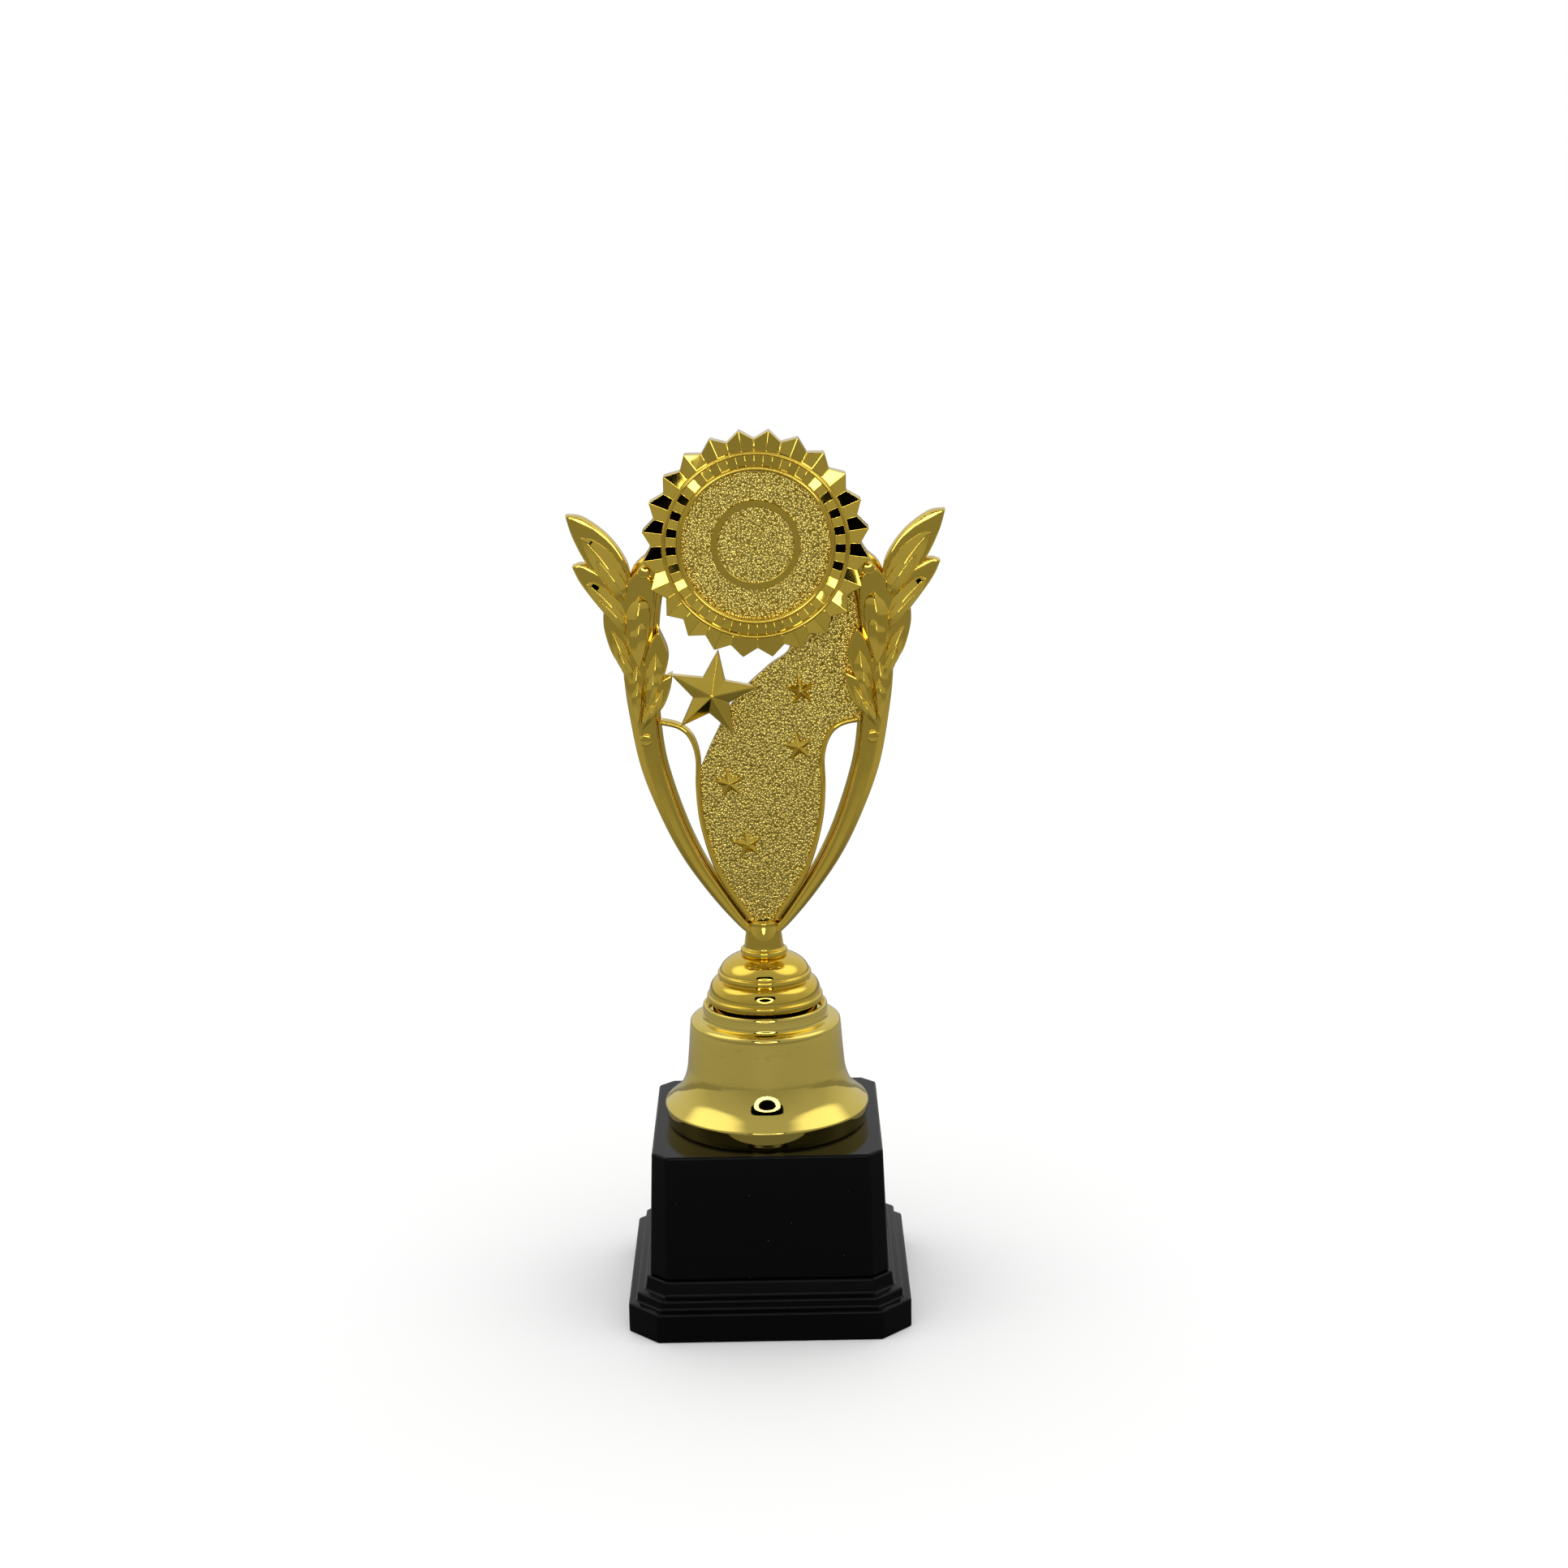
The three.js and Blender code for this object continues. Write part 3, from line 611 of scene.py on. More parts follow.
@dataclass(frozen=True)
class BlackPlastic:
    """Black ABS, injection moulded and semi-gloss: a deep black that mirrors only at a flat glance."""

    name: str = "black_abs"
    colour: str = "#050506"
    gloss: Point = (0.07, 0.13)
    specular: float = 0.12
    haze_size: float = 14.0
    dust: str = "#3a3a3c"
    dust_spacing: float = 6.0
    peel_size: float = 1.2
    peel_height: float = 0.003

    def material(self) -> bpy.types.Material:
        """The finish as a material."""
        material, tree, shader, place = blank(self.name)
        haze = add_node(
            tree, "ShaderNodeTexNoise", {"Scale": per(self.haze_size), "Detail": 5.0}, {"Vector": place}
        )
        low, high = self.gloss
        rough = add_node(
            tree, "ShaderNodeMapRange", {"To Min": low, "To Max": high}, {"Value": haze.outputs["Fac"]}
        )
        specks = add_node(tree, "ShaderNodeTexVoronoi", {"Scale": per(self.dust_spacing)}, {"Vector": place})
        dust = add_node(
            tree,
            "ShaderNodeMapRange",
            {"From Min": 0.02, "From Max": 0.035, "To Min": 1.0, "To Max": 0.0},
            {"Value": specks.outputs["Distance"]},
        )
        tint = add_node(
            tree,
            "ShaderNodeMix",
            {"6": linear(self.colour), "7": linear(self.dust)},
            {"0": dust.outputs[0]},
            data_type="RGBA",
        )
        peel = add_node(
            tree, "ShaderNodeTexNoise", {"Scale": per(self.peel_size), "Detail": 2.0}, {"Vector": place}
        )
        bump = add_node(
            tree,
            "ShaderNodeBump",
            {"Strength": 1.0, "Distance": self.peel_height * MM},
            {"Height": peel.outputs["Fac"]},
        )
        shader.inputs["Specular IOR Level"].default_value = self.specular
        tree.links.new(tint.outputs[2], shader.inputs["Base Color"])
        tree.links.new(rough.outputs[0], shader.inputs["Roughness"])
        tree.links.new(bump.outputs["Normal"], shader.inputs["Normal"])
        return material


@dataclass(frozen=True)
class ZincSteel:
    """Zinc-plated mild steel: a bluish grey with the soft patches of the plating bath."""

    name: str = "zinc_plated_steel"
    colour: str = "#b4b8bc"
    patch: str = "#8d9297"
    patch_size: float = 2.5
    gloss: Point = (0.28, 0.45)

    def material(self) -> bpy.types.Material:
        """The finish as a material."""
        material, tree, shader, place = blank(self.name)
        patches = add_node(tree, "ShaderNodeTexVoronoi", {"Scale": per(self.patch_size)}, {"Vector": place})
        tint = add_node(
            tree,
            "ShaderNodeMix",
            {"6": linear(self.colour), "7": linear(self.patch)},
            {"0": patches.outputs["Distance"]},
            data_type="RGBA",
        )
        low, high = self.gloss
        rough = add_node(
            tree,
            "ShaderNodeMapRange",
            {"To Min": low, "To Max": high},
            {"Value": patches.outputs["Distance"]},
        )
        shader.inputs["Metallic"].default_value = 1.0
        tree.links.new(tint.outputs[2], shader.inputs["Base Color"])
        tree.links.new(rough.outputs[0], shader.inputs["Roughness"])
        return material


@dataclass(frozen=True)
class TurnedBrass:
    """Free-cutting brass, turned: fine rings left by the tool along the axis."""

    name: str = "turned_brass"
    colour: str = "#c9a24d"
    pitch: float = 0.25
    ring_depth: float = 0.01
    gloss: float = 0.3

    def material(self) -> bpy.types.Material:
        """The finish as a material."""
        material, tree, shader, place = blank(self.name)
        rings = add_node(
            tree, "ShaderNodeTexWave", {"Scale": per(self.pitch) / 20}, {"Vector": place}, bands_direction="Z"
        )
        bump = add_node(
            tree,
            "ShaderNodeBump",
            {"Strength": 1.0, "Distance": self.ring_depth * MM},
            {"Height": rings.outputs["Fac"]},
        )
        shader.inputs["Metallic"].default_value = 1.0
        shader.inputs["Roughness"].default_value = self.gloss
        shader.inputs["Base Color"].default_value = linear(self.colour)
        tree.links.new(bump.outputs["Normal"], shader.inputs["Normal"])
        return material


@dataclass
class Finishes:
    """One material of each finish, shared by the pieces."""

    plate: bpy.types.Material = field(default_factory=lambda: GoldPlate().material())
    satin: bpy.types.Material = field(default_factory=lambda: GoldSatin().material())
    pebble: bpy.types.Material = field(default_factory=lambda: GoldPebble().material())
    plastic: bpy.types.Material = field(default_factory=lambda: BlackPlastic().material())
    zinc: bpy.types.Material = field(default_factory=lambda: ZincSteel().material())
    brass: bpy.types.Material = field(default_factory=lambda: TurnedBrass().material())


def dress(piece: bpy.types.Object, material: bpy.types.Material, slot: str, *nodes: str) -> bpy.types.Object:
    """Gives a piece its material and place in the trophy.

    Args:
        piece: The piece.
        material: Its only material.
        slot: The record's material slot; not used.
        nodes: CAD nodes that the piece stands for.

    Returns:
        The piece.
    """
    piece.data.materials.clear()
    piece.data.materials.append(material)
    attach(piece, ROOT)
    if nodes:
        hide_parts(*nodes)
    LOG.info("%s: %d faces", piece.name, len(piece.data.polygons))
    return piece


# ---- base -----------------------------------------------------------------------------------------


@dataclass
class Plinth:
    """The black plinth: a stepped hollow skirt and the tapered hollow block on it.

    Steps are how far each level goes inwards and along.
    """

    foot_half: float = 40.0
    chamfer: float = 8.5
    foot_height: float = 8.5
    wall: float = 2.5
    skirt_steps: tuple[Point, ...] = ((2.4, 0.5), (0.0, 2.5), (2.4, 0.5), (0.6, 4.1), (3.65, 0.0), (0.0, 3.4))
    skirt_hollow: tuple[Point, ...] = ((0.0, 6.0), (2.4, 2.5), (3.0, 5.1), (3.75, 0.0))
    skirt_edge: float = 0.55
    lip_wall: float = 1.9
    block_foot: float = 16.15
    block_height: float = 36.15
    block_inset: float = 6.25
    block_taper: float = 1.3
    block_roof: float = 1.5
    block_edge: float = 0.7

    def chamfered(self, name: str, half: float, foot: float, height: float) -> bpy.types.Object:
        """A box with its four upright edges cut back.

        Args:
            name: Name of the new piece.
            half: Half the width.
            foot: Height of the underside.
            height: Height of the box.

        Returns:
            The box.
        """
        deselect()
        bpy.ops.mesh.primitive_cube_add(size=1.0, location=(0.0, 0.0, (foot + height / 2) * MM))
        piece = named(name)
        piece.scale = (2 * half * MM, 2 * half * MM, height * MM)
        bpy.ops.object.transform_apply(location=True, rotation=True, scale=True)
        with editing(piece, "DESELECT"):
            bpy.ops.mesh.select_mode(type="EDGE")
            mesh = bmesh.from_edit_mesh(piece.data)
            for edge in mesh.edges:
                a, b = (vert.co for vert in edge.verts)
                edge.select_set(abs(a.z - b.z) > height * MM / 2)
            bmesh.update_edit_mesh(piece.data)
            cut = self.chamfer - (self.foot_half - half) * (2 - math.sqrt(2))
            bpy.ops.mesh.bevel(offset=cut * MM, segments=1, affect="EDGES")
        return piece

    def stack_up(self, piece: bpy.types.Object, steps: Sequence[Point], up: bool = True) -> None:
        """Builds inwards and upwards from the top face, or hollows out from the underside.

        Args:
            piece: The chamfered box.
            steps: How far each level goes inwards and along.
            up: Whether the top face is worked; otherwise the underside.
        """
        with editing(piece, "DESELECT"):
            sign = 1.0 if up else -1.0
            end = max(sign * vert.co.z for vert in piece.data.vertices) - MM / 10
            select_faces(
                piece, lambda face: face.normal.z * sign > 0.9 and sign * face.calc_center_median().z > end
            )
            for inwards, along in steps:
                if inwards:
                    bpy.ops.mesh.inset(thickness=inwards * MM, depth=sign * along * MM)
                else:
                    bpy.ops.mesh.extrude_region_move(
                        TRANSFORM_OT_translate={"value": (0.0, 0.0, along * MM)}
                    )

    def skirt(self) -> bpy.types.Object:
        """The stepped skirt, hollow underneath."""
        piece = self.chamfered("plinth_skirt_moulding", self.foot_half, 0.0, self.foot_height)
        self.stack_up(piece, self.skirt_steps)
        self.stack_up(piece, ((self.wall, 0.0), *self.skirt_hollow), up=False)
        self.open_top(piece)
        round_edges(piece, self.skirt_edge, 3, 20.0)
        weld(piece)
        smooth_flats(piece)
        return piece

    def open_top(self, piece: bpy.types.Object) -> None:
        """Opens the locating lip through to the hollow under it, by bridging its top to the hollow's roof."""
        lip_top = max(vert.co.z for vert in piece.data.vertices) - MM / 10
        with editing(piece, "DESELECT"):
            select_faces(piece, lambda face: face.normal.z > 0.9 and face.calc_center_median().z > lip_top)
            bpy.ops.mesh.inset(thickness=self.lip_wall * MM, depth=0.0)
            mesh = bmesh.from_edit_mesh(piece.data)
            inner = [face for face in mesh.faces if face.select]
            roof = [face for face in mesh.faces if face.normal.z < -0.9]
            roof_top = max(face.calc_center_median().z for face in roof) - MM / 10
            for face in roof:
                if face.calc_center_median().z > roof_top and len(face.verts) == 8:
                    inner.append(face)
            for face in mesh.faces:
                face.select_set(face in inner)
            bmesh.update_edit_mesh(piece.data)
            bpy.ops.mesh.bridge_edge_loops()

    def block(self) -> bpy.types.Object:
        """The tapered block, hollow underneath."""
        half = self.foot_half - self.block_inset
        start = 1.0
        piece = self.chamfered("plinth_block_moulding", half, self.block_foot, start)
        rise = self.block_height - start
        slope = self.block_taper / self.block_height
        with editing(piece, "DESELECT"):
            select_faces(piece, lambda face: face.normal.z > 0.9)
            bpy.ops.mesh.inset(thickness=self.block_taper * MM, depth=rise * MM)
        self.stack_up(piece, ((self.wall, 0.0), (slope * rise, rise - self.block_roof)), up=False)
        round_edges(piece, self.block_edge, 4, 25.0)
        weld(piece)
        smooth_flats(piece)
        return piece

    def build(self, finishes: Finishes) -> None:
        """Makes and dresses both mouldings."""
        dress(self.skirt(), finishes.plastic, "black_plinth", "plinth_skirt")
        dress(self.block(), finishes.plastic, "black_plinth", "plinth_block")


@dataclass
class Fixings:
    """The steel that holds the trophy together, seen only from underneath."""

    nut_flats: float = 7.0
    nut_foot: float = 15.1
    nut_height: float = 3.2
    nut_gap: float = 0.15
    nut_corner: Point = (0.45, 0.3)
    rod_radius: float = 2.0
    rod_foot: float = 13.1
    rod_top: float = 106.9
    pitch: float = 0.7
    thread_depth: float = 0.3
    rod_sides: int = 20

    def nut(self) -> bpy.types.Object:
        """A hexagon nut with its corners turned back."""
        radius = self.nut_flats / math.sqrt(3)
        foot, top = self.nut_foot, self.nut_foot + self.nut_height
        hole = self.rod_radius + self.nut_gap
        cut, rise = self.nut_corner
        profile = (
            (hole, foot),
            (radius - cut, foot),
            (radius, foot + rise),
            (radius, top - rise),
            (radius - cut, top),
            (hole, top),
        )
        piece = turned("hexagon_nut", profile, sides=6, closed=True)
        round_edges(piece, 0.12, 2, 25.0)
        smooth(piece)
        return piece

    def rod(self) -> bpy.types.Object:
        """The threaded rod: a helical ridge wound round its core."""
        turns = int((self.rod_top - self.rod_foot) / self.pitch)
        steps = ((0.0, self.rod_radius), (0.5, self.rod_radius - self.thread_depth))
        rings = []
        for turn in range(turns):
            for share, radius in steps:
                ring = []
                for k in range(self.rod_sides):
                    angle = 2 * math.pi * k / self.rod_sides
                    height = self.rod_foot + (turn + share + k / self.rod_sides) * self.pitch
                    height = min(max(height, self.rod_foot), self.rod_top)
                    ring.append(Vector((radius * math.cos(angle), radius * math.sin(angle), height)))
                rings.append(ring)
        piece = lofted("threaded_rod", rings)
        smooth(piece, 60.0)
        return piece

    def build(self, frame: dict, finishes: Finishes) -> None:
        """Makes the nut and rod, and finishes the CAD ballast, washer and insert."""
        dress(self.nut(), finishes.zinc, "zinc_steel", "rod_nut")
        dress(self.rod(), finishes.zinc, "zinc_steel", "tie_rod")
        for name, material in (
            ("ballast_plate", finishes.zinc),
            ("rod_washer", finishes.zinc),
            ("socket_insert", finishes.brass),
        ):
            node = frame["nodes"][name]
            for slot in node.material_slots:
                slot.material = material
            if not node.material_slots:
                node.data.materials.append(material)
            LOG.info("%s keeps its CAD shape", name)


# ---- riser ----------------------------------------------------------------------------------------


def arc(start: Point, end: Point, bulge: float, steps: int = 6) -> list[Point]:
    """Points on a quarter-like curve between two profile points, ends included.

    Args:
        start: First radius and height.
        end: Last radius and height.
        bulge: 1 for a quarter ellipse bulging outwards, 0 for a straight line.
        steps: Number of spans.

    Returns:
        The points.
    """
    points = []
    for i in range(steps + 1):
        share = i / steps
        angle = share * math.pi / 2
        straight = (start[0] + (end[0] - start[0]) * share, start[1] + (end[1] - start[1]) * share)
        round_one = (
            end[0] + (start[0] - end[0]) * math.cos(angle),
            start[1] + (end[1] - start[1]) * math.sin(angle),
        )
        points.append(tuple(s + (r - s) * bulge for s, r in zip(straight, round_one)))
    return points


@dataclass
class Riser:
    """The bell, the stepped collar in its seat and the socket that the figure stands in."""

    bell_foot: float = 52.35
    lip_radius: float = 29.33
    flare: Line = Line(
        (
            (29.2, 57.95), (28.35, 58.65), (27.25, 59.6), (26.2, 60.55), (25.25, 61.6), (24.5, 62.75),
            (23.9, 64.0), (23.42, 65.3), (23.05, 66.6), (22.72, 68.2),
        )
    )
    shoulder: Point = (21.6, 81.8)
    ring_radius: float = 17.9
    ring_top: float = 87.4
    seat_radius: float = 16.9
    seat_floor: float = 85.5
    bore: float = 2.3
    bell_roof: float = 2.0
    collar_lip: float = 16.6
    socket_foot: float = 101.6
    socket_top: float = 111.9

    def bell(self) -> bpy.types.Object:
        """The bell with its flare, wall, rounded shoulder, raised ring and seat."""
        height = self.shoulder[1]
        ring, seat = self.ring_radius, self.seat_radius
        roof = self.seat_floor - self.bell_roof
        outside = [
            (28.5, self.bell_foot),
            (28.78, 52.7), (28.9, 53.6), (29.1, 55.3), (29.25, 56.6),
            (self.lip_radius, 57.2),
            (self.lip_radius + 0.04, 57.45),
            (self.lip_radius, 57.75),
            *((point.x, point.y) for point in self.flare.evenly(48)),
            (22.6, 69.2), (22.4, 71.5), (22.15, 74.5), (21.9, 78.0), (21.67, 81.0),
            *arc(self.shoulder, (18.6, height + 1.5), 1.0, 8),
            (18.15, 83.45), (17.95, 83.8),
            (ring, 84.4),
            (ring, 86.0),
            *arc((ring, 86.2), (17.3, self.ring_top), 1.0, 5),
            (seat + 0.05, self.ring_top - 0.05),
            (seat, self.ring_top - 0.4),
            (seat, self.seat_floor),
            (self.bore, self.seat_floor),
        ]
        inside = [
            (self.bore, roof),
            (15.6, roof),
            (19.6, height - self.bell_roof),
            (20.6, 68.0), (21.0, 64.0), (26.0, 57.5),
            (26.2, self.bell_foot),
        ]
        piece = turned("bell_moulding", outside + inside, sides=144, closed=True)
        smooth(piece, 35.0)
        return piece

    def collar(self) -> bpy.types.Object:
        """The stepped collar: lip, lower dome, bead and upper dome."""
        lip = self.collar_lip
        profile = [
            (13.0, 85.6), (15.0, 85.6), (15.0, 88.2),
            *arc((16.2, 88.2), (lip, 88.7), -0.6, 4),
            (lip, 89.6),
            *arc((lip, 89.7), (16.1, 90.2), 1.0, 4),
            (15.98, 90.32), (15.95, 90.5),
            *arc((15.95, 90.7), (13.6, 94.5), 0.9, 12),
            (13.15, 94.75), (13.05, 95.0),
            *arc((13.1, 95.1), (13.4, 95.6), -0.6, 3),
            (13.4, 96.1),
            *arc((13.4, 96.3), (12.9, 96.9), 1.0, 4),
            (12.75, 97.05), (12.75, 97.3),
            *arc((12.75, 97.4), (6.9, 101.55), 0.62, 14),
            (self.bore, self.socket_foot),
            (self.bore, 99.5),
            (6.0, 99.5), (11.4, 96.9), (11.4, 94.6), (13.0, 90.2),
        ]
        piece = turned("collar_moulding", profile, sides=144, closed=True)
        smooth(piece, 35.0)
        return piece

    def socket(self) -> bpy.types.Object:
        """The socket: a beaded flange and a cone that runs up into the figure."""
        profile = [
            (3.6, self.socket_foot),
            (6.2, self.socket_foot),
            *arc((6.35, self.socket_foot + 0.05), (6.7, 102.5), -0.6, 4),
            (6.7, 102.8),
            *arc((6.7, 102.9), (6.2, 103.6), 1.0, 5),
            (5.85, 103.72), (5.65, 103.95),
            *arc((5.6, 104.2), (4.5, 110.9), 0.25, 8),
            *arc((4.5, 111.2), (4.0, self.socket_top), 1.0, 4),
            (2.6, self.socket_top),
            (2.6, 108.5), (3.6, 108.0),
        ]
        piece = turned("socket_moulding", profile, sides=96, closed=True)
        smooth(piece, 35.0)
        return piece

    def build(self, finishes: Finishes) -> None:
        """Makes and dresses the riser's three mouldings."""
        dress(self.bell(), finishes.satin, "gold_satin", "bell_riser")
        dress(self.collar(), finishes.plate, "gold_plate", "stepped_collar")
        dress(self.socket(), finishes.plate, "gold_plate", "figure_socket")


# ---- figure ---------------------------------------------------------------------------------------


@dataclass
class Handles:
    """The two side bars: a flat face between a rounded outer edge and a stepped-back inner flange."""

    outer: Line = Line(
        (
            (4, 107.6), (7.4, 110.6), (14.5, 119), (22.2, 130.2), (28.1, 142), (33.4, 156.4), (36.2, 171),
            (37.6, 184), (37.4, 200), (34.6, 212.8), (30.4, 217.6), (28.1, 222),
        )
    )
    inner: Line = Line(
        (
            (2.5, 110.6), (4.9, 112.8), (10.8, 121.8), (16.2, 130.8), (21.1, 142), (25.6, 156.4),
            (27.4, 168), (28, 184), (26.8, 202), (23.6, 217),
        )
    )
    front: float = -3.0
    back: float = 3.0
    flange: float = 1.15
    flange_front: float = 0.2
    band: float = 2.3
    stations: int = 90

    def section(self, width: float) -> list[Point]:
        """The bar's section: distance from its inner edge and depth, round from the inner back corner.

        Args:
            width: Width of the bar here.

        Returns:
            The corners of the section.
        """
        flange = min(self.flange, 0.17 * width)
        band = min(self.band, 0.3 * width)
        face = width - band
        front, back = self.front, self.back
        return [
            (0.3, back),
            (0.08, back - 0.1),
            (0.0, back - 0.3),
            (0.0, self.flange_front + 0.3),
            (0.08, self.flange_front + 0.08),
            (0.3, self.flange_front),
            (flange - 0.2, self.flange_front),
            (flange, self.flange_front - 0.2),
            (flange, front + 0.75),
            (flange + 0.1, front + 0.5),
            (flange + 0.45, front + 0.12),
            (flange + 0.7, front),
            ((flange + face) / 2, front - 0.03),
            (face - 0.16, front),
            (face - 0.04, front + 0.1),
            (face + 0.06, front + 0.1),
            (face + 0.16, front + 0.06),
            (face + 0.4 * band, front + 0.42),
            (face + 0.7 * band, front + 0.95),
            (width - 0.28, front + 1.4),
            (width - 0.08, front + 1.75),
            (width, front + 2.3),
            (width, back - 0.5),
            (width - 0.12, back - 0.15),
            (width - 0.45, back),
        ]

    def bar(self, side: Side) -> bpy.types.Object:
        """One bar, from the socket up to behind the rosette."""
        rings = []
        for outer, inner in zip(self.outer.evenly(self.stations), self.inner.evenly(self.stations)):
            across = outer - inner
            width = across.length
            unit = across / width
            ring = []
            for reach, depth in self.section(width):
                spot = inner + unit * reach
                ring.append(Vector((side.value * spot.x, depth, spot.y)))
            rings.append(ring)
        piece = lofted(f"{side.name.lower()}_side_bar", rings)
        smooth(piece, 28.0)
        return piece

    def build(self, finishes: Finishes) -> None:
        """Makes and dresses both bars."""
        for side in Side:
            name = side.name.lower()
            dress(self.bar(side), finishes.plate, "gold_plate", f"{name}_handle")


@dataclass
class Panel:
    """The cup-shaped panel: a pebbled field with plain borders that loop out to the bars."""

    border: Line = Line(
        (
            (4.5, 112.3), (10.6, 121.6), (14.4, 129.6), (17.4, 141), (18.3, 151), (18.2, 159.4),
            (19.8, 165), (22.8, 168), (27.6, 169.3),
        )
    )
    free_edge: Line = Line(
        ((-16.9, 156.2), (-12.8, 165.3), (-6.5, 176.5), (2.5, 185.2), (8.6, 190), (9, 198), (6, 208))
    )
    bar_edge: Line = Line(((27.4, 168), (28, 184), (26.8, 202), (23.6, 217)))
    free_from: float = 156.2
    bars_from: float = 169.0
    tuck: float = 0.7
    foot: float = 111.9
    top: float = 208.0
    width: float = 48.0
    front: float = -1.5
    back: float = 1.5
    rim_width: float = 1.5
    rim_front: float = -2.5
    rim_round: float = 0.7
    grain: float = 0.6
    grain_height: float = 0.12
    grid: float = 0.27
    pad: Point = (0.0, 220.7)
    pad_radius: float = 18.0

    def edges_at(self, height: float) -> Point:
        """The field's left and right edges at a height, tucked under the borders and the bar."""
        border = self.border.x_at(height)
        right = border - self.tuck if height < self.bars_from else self.bar_edge.x_at(height) + 0.5
        left = self.tuck - border if height < self.free_from else self.free_edge.x_at(height)
        return left, right

    def field(self) -> bpy.types.Object:
        """The pebbled field, its grain raised in the mesh."""
        rows = int((self.top - self.foot) / self.grid)
        columns = int(self.width / self.grid)
        places = []
        for i in range(rows + 1):
            height = self.foot + (self.top - self.foot) * i / rows
            left, right = self.edges_at(height)
            step = (right - left) / columns
            places.append([Vector((left + step * j, self.front, height)) for j in range(columns + 1)])
        piece = shaped_grid("pebbled_field", places)
        roughened(piece, self.grain, self.grain_height)
        close_behind(piece, self.back)
        smooth(piece, 60.0)
        return piece

    def rim(self, side: Side) -> bpy.types.Object:
        """One border with its loop: a strip with a softly rounded front."""
        half = self.rim_width / 2
        fall = self.rim_round
        shoulder = self.rim_front + fall + 0.05
        cut = 0.2
        section = [(0.0, self.back - cut), (0.0, shoulder)]
        for k in range(1, 8):
            angle = math.pi * k / 8
            section.append((half - half * math.cos(angle), self.rim_front + fall - fall * math.sin(angle)))
        section += [(self.rim_width, shoulder), (self.rim_width, self.back - cut)]
        section += [(self.rim_width - cut, self.back), (cut, self.back)]
        points = self.border.evenly(120)
        rings = []
        for i, point in enumerate(points):
            ahead = points[min(i + 1, len(points) - 1)] - points[max(i - 1, 0)]
            inwards = Vector((-ahead.y, ahead.x)).normalized()
            ring = []
            for reach, depth in section:
                spot = point + inwards * reach
                ring.append(Vector((side.value * spot.x, depth, spot.y)))
            rings.append(ring)
        return lofted(f"{side.name.lower()}_border", rings)

    def carrier(self) -> bpy.types.Object:
        """The round pad at the top that the rosette is bonded to."""
        radius, front, back, cut = self.pad_radius, -3.0, self.back, 0.4
        profile = ((radius - cut, front), (radius, front + cut), (radius, back - cut), (radius - cut, back))
        return turned("rosette_pad", profile, Axis.FRONT, self.pad)

    def build(self, finishes: Finishes) -> None:
        """Makes and dresses the field, and the borders and pad as one plain moulding."""
        dress(self.field(), finishes.pebble, "gold_pebble", "relief_panel")
        plain = joined("panel_borders", [self.rim(Side.LEFT), self.rim(Side.RIGHT), self.carrier()])
        smooth(plain, 35.0)
        dress(plain, finishes.plate, "gold_plate")


@dataclass(frozen=True)
class StarShape:
    """A five-pointed star with a ridge along each arm."""

    centre: Point
    tip: float
    notch: float
    turn: float

    def outline(self) -> list[Point]:
        """The ten corners, from the top tip round to the left."""
        corners = []
        for i in range(10):
            radius = self.tip if i % 2 == 0 else self.notch
            angle = math.radians(90 + self.turn + 36 * i)
            corners.append(
                (self.centre[0] + radius * math.cos(angle), self.centre[1] + radius * math.sin(angle))
            )
        return corners

    def solid(self, name: str, back: float, edge: float, peak: float) -> bpy.types.Object:
        """The star as a solid.

        Args:
            name: Name of the new piece.
            back: Depth of the flat back.
            edge: Depth of the front edge.
            peak: Depth of the peak.

        Returns:
            The star.
        """
        outline = self.outline()
        middle = self.centre
        rings = [
            [Vector((x, back, z)) for x, z in outline],
            [Vector((x, edge, z)) for x, z in outline],
            [Vector((middle[0], peak, middle[1]))] * 10,
        ]
        return lofted(name, rings)


@dataclass
class Stars:
    """The large star beside the panel and the four small ones raised on it.

    Depths are those of the back, the front edge and the peak.
    """

    large: StarShape = StarShape((-13.0, 178.5), 12.6, 5.3, -9.0)
    large_depths: tuple[float, float, float] = (-2.6, -5.8, -9.1)
    large_edge: float = 0.2
    small_centres: tuple[Point, ...] = ((11.6, 178.5), (10.8, 162.4), (-8.8, 152.2), (-4.0, 134.5))
    small_tip: float = 4.5
    small_notch: float = 1.75
    small_turn: float = 8.0
    small_depths: tuple[float, float, float] = (-1.0, -1.95, -3.2)
    small_edge: float = 0.1

    def build(self, finishes: Finishes) -> None:
        """Makes and dresses all five stars."""
        star = self.large.solid("large_star_moulding", *self.large_depths)
        round_edges(star, self.large_edge, 3, 14.0)
        smooth_flats(star)
        dress(star, finishes.plate, "gold_plate", "large_star")
        for number, centre in enumerate(self.small_centres, 1):
            shape = StarShape(centre, self.small_tip, self.small_notch, self.small_turn)
            small = shape.solid(f"small_star_{number}", *self.small_depths)
            round_edges(small, self.small_edge, 2, 14.0)
            smooth_flats(small)
            dress(small, finishes.plate, "gold_plate")


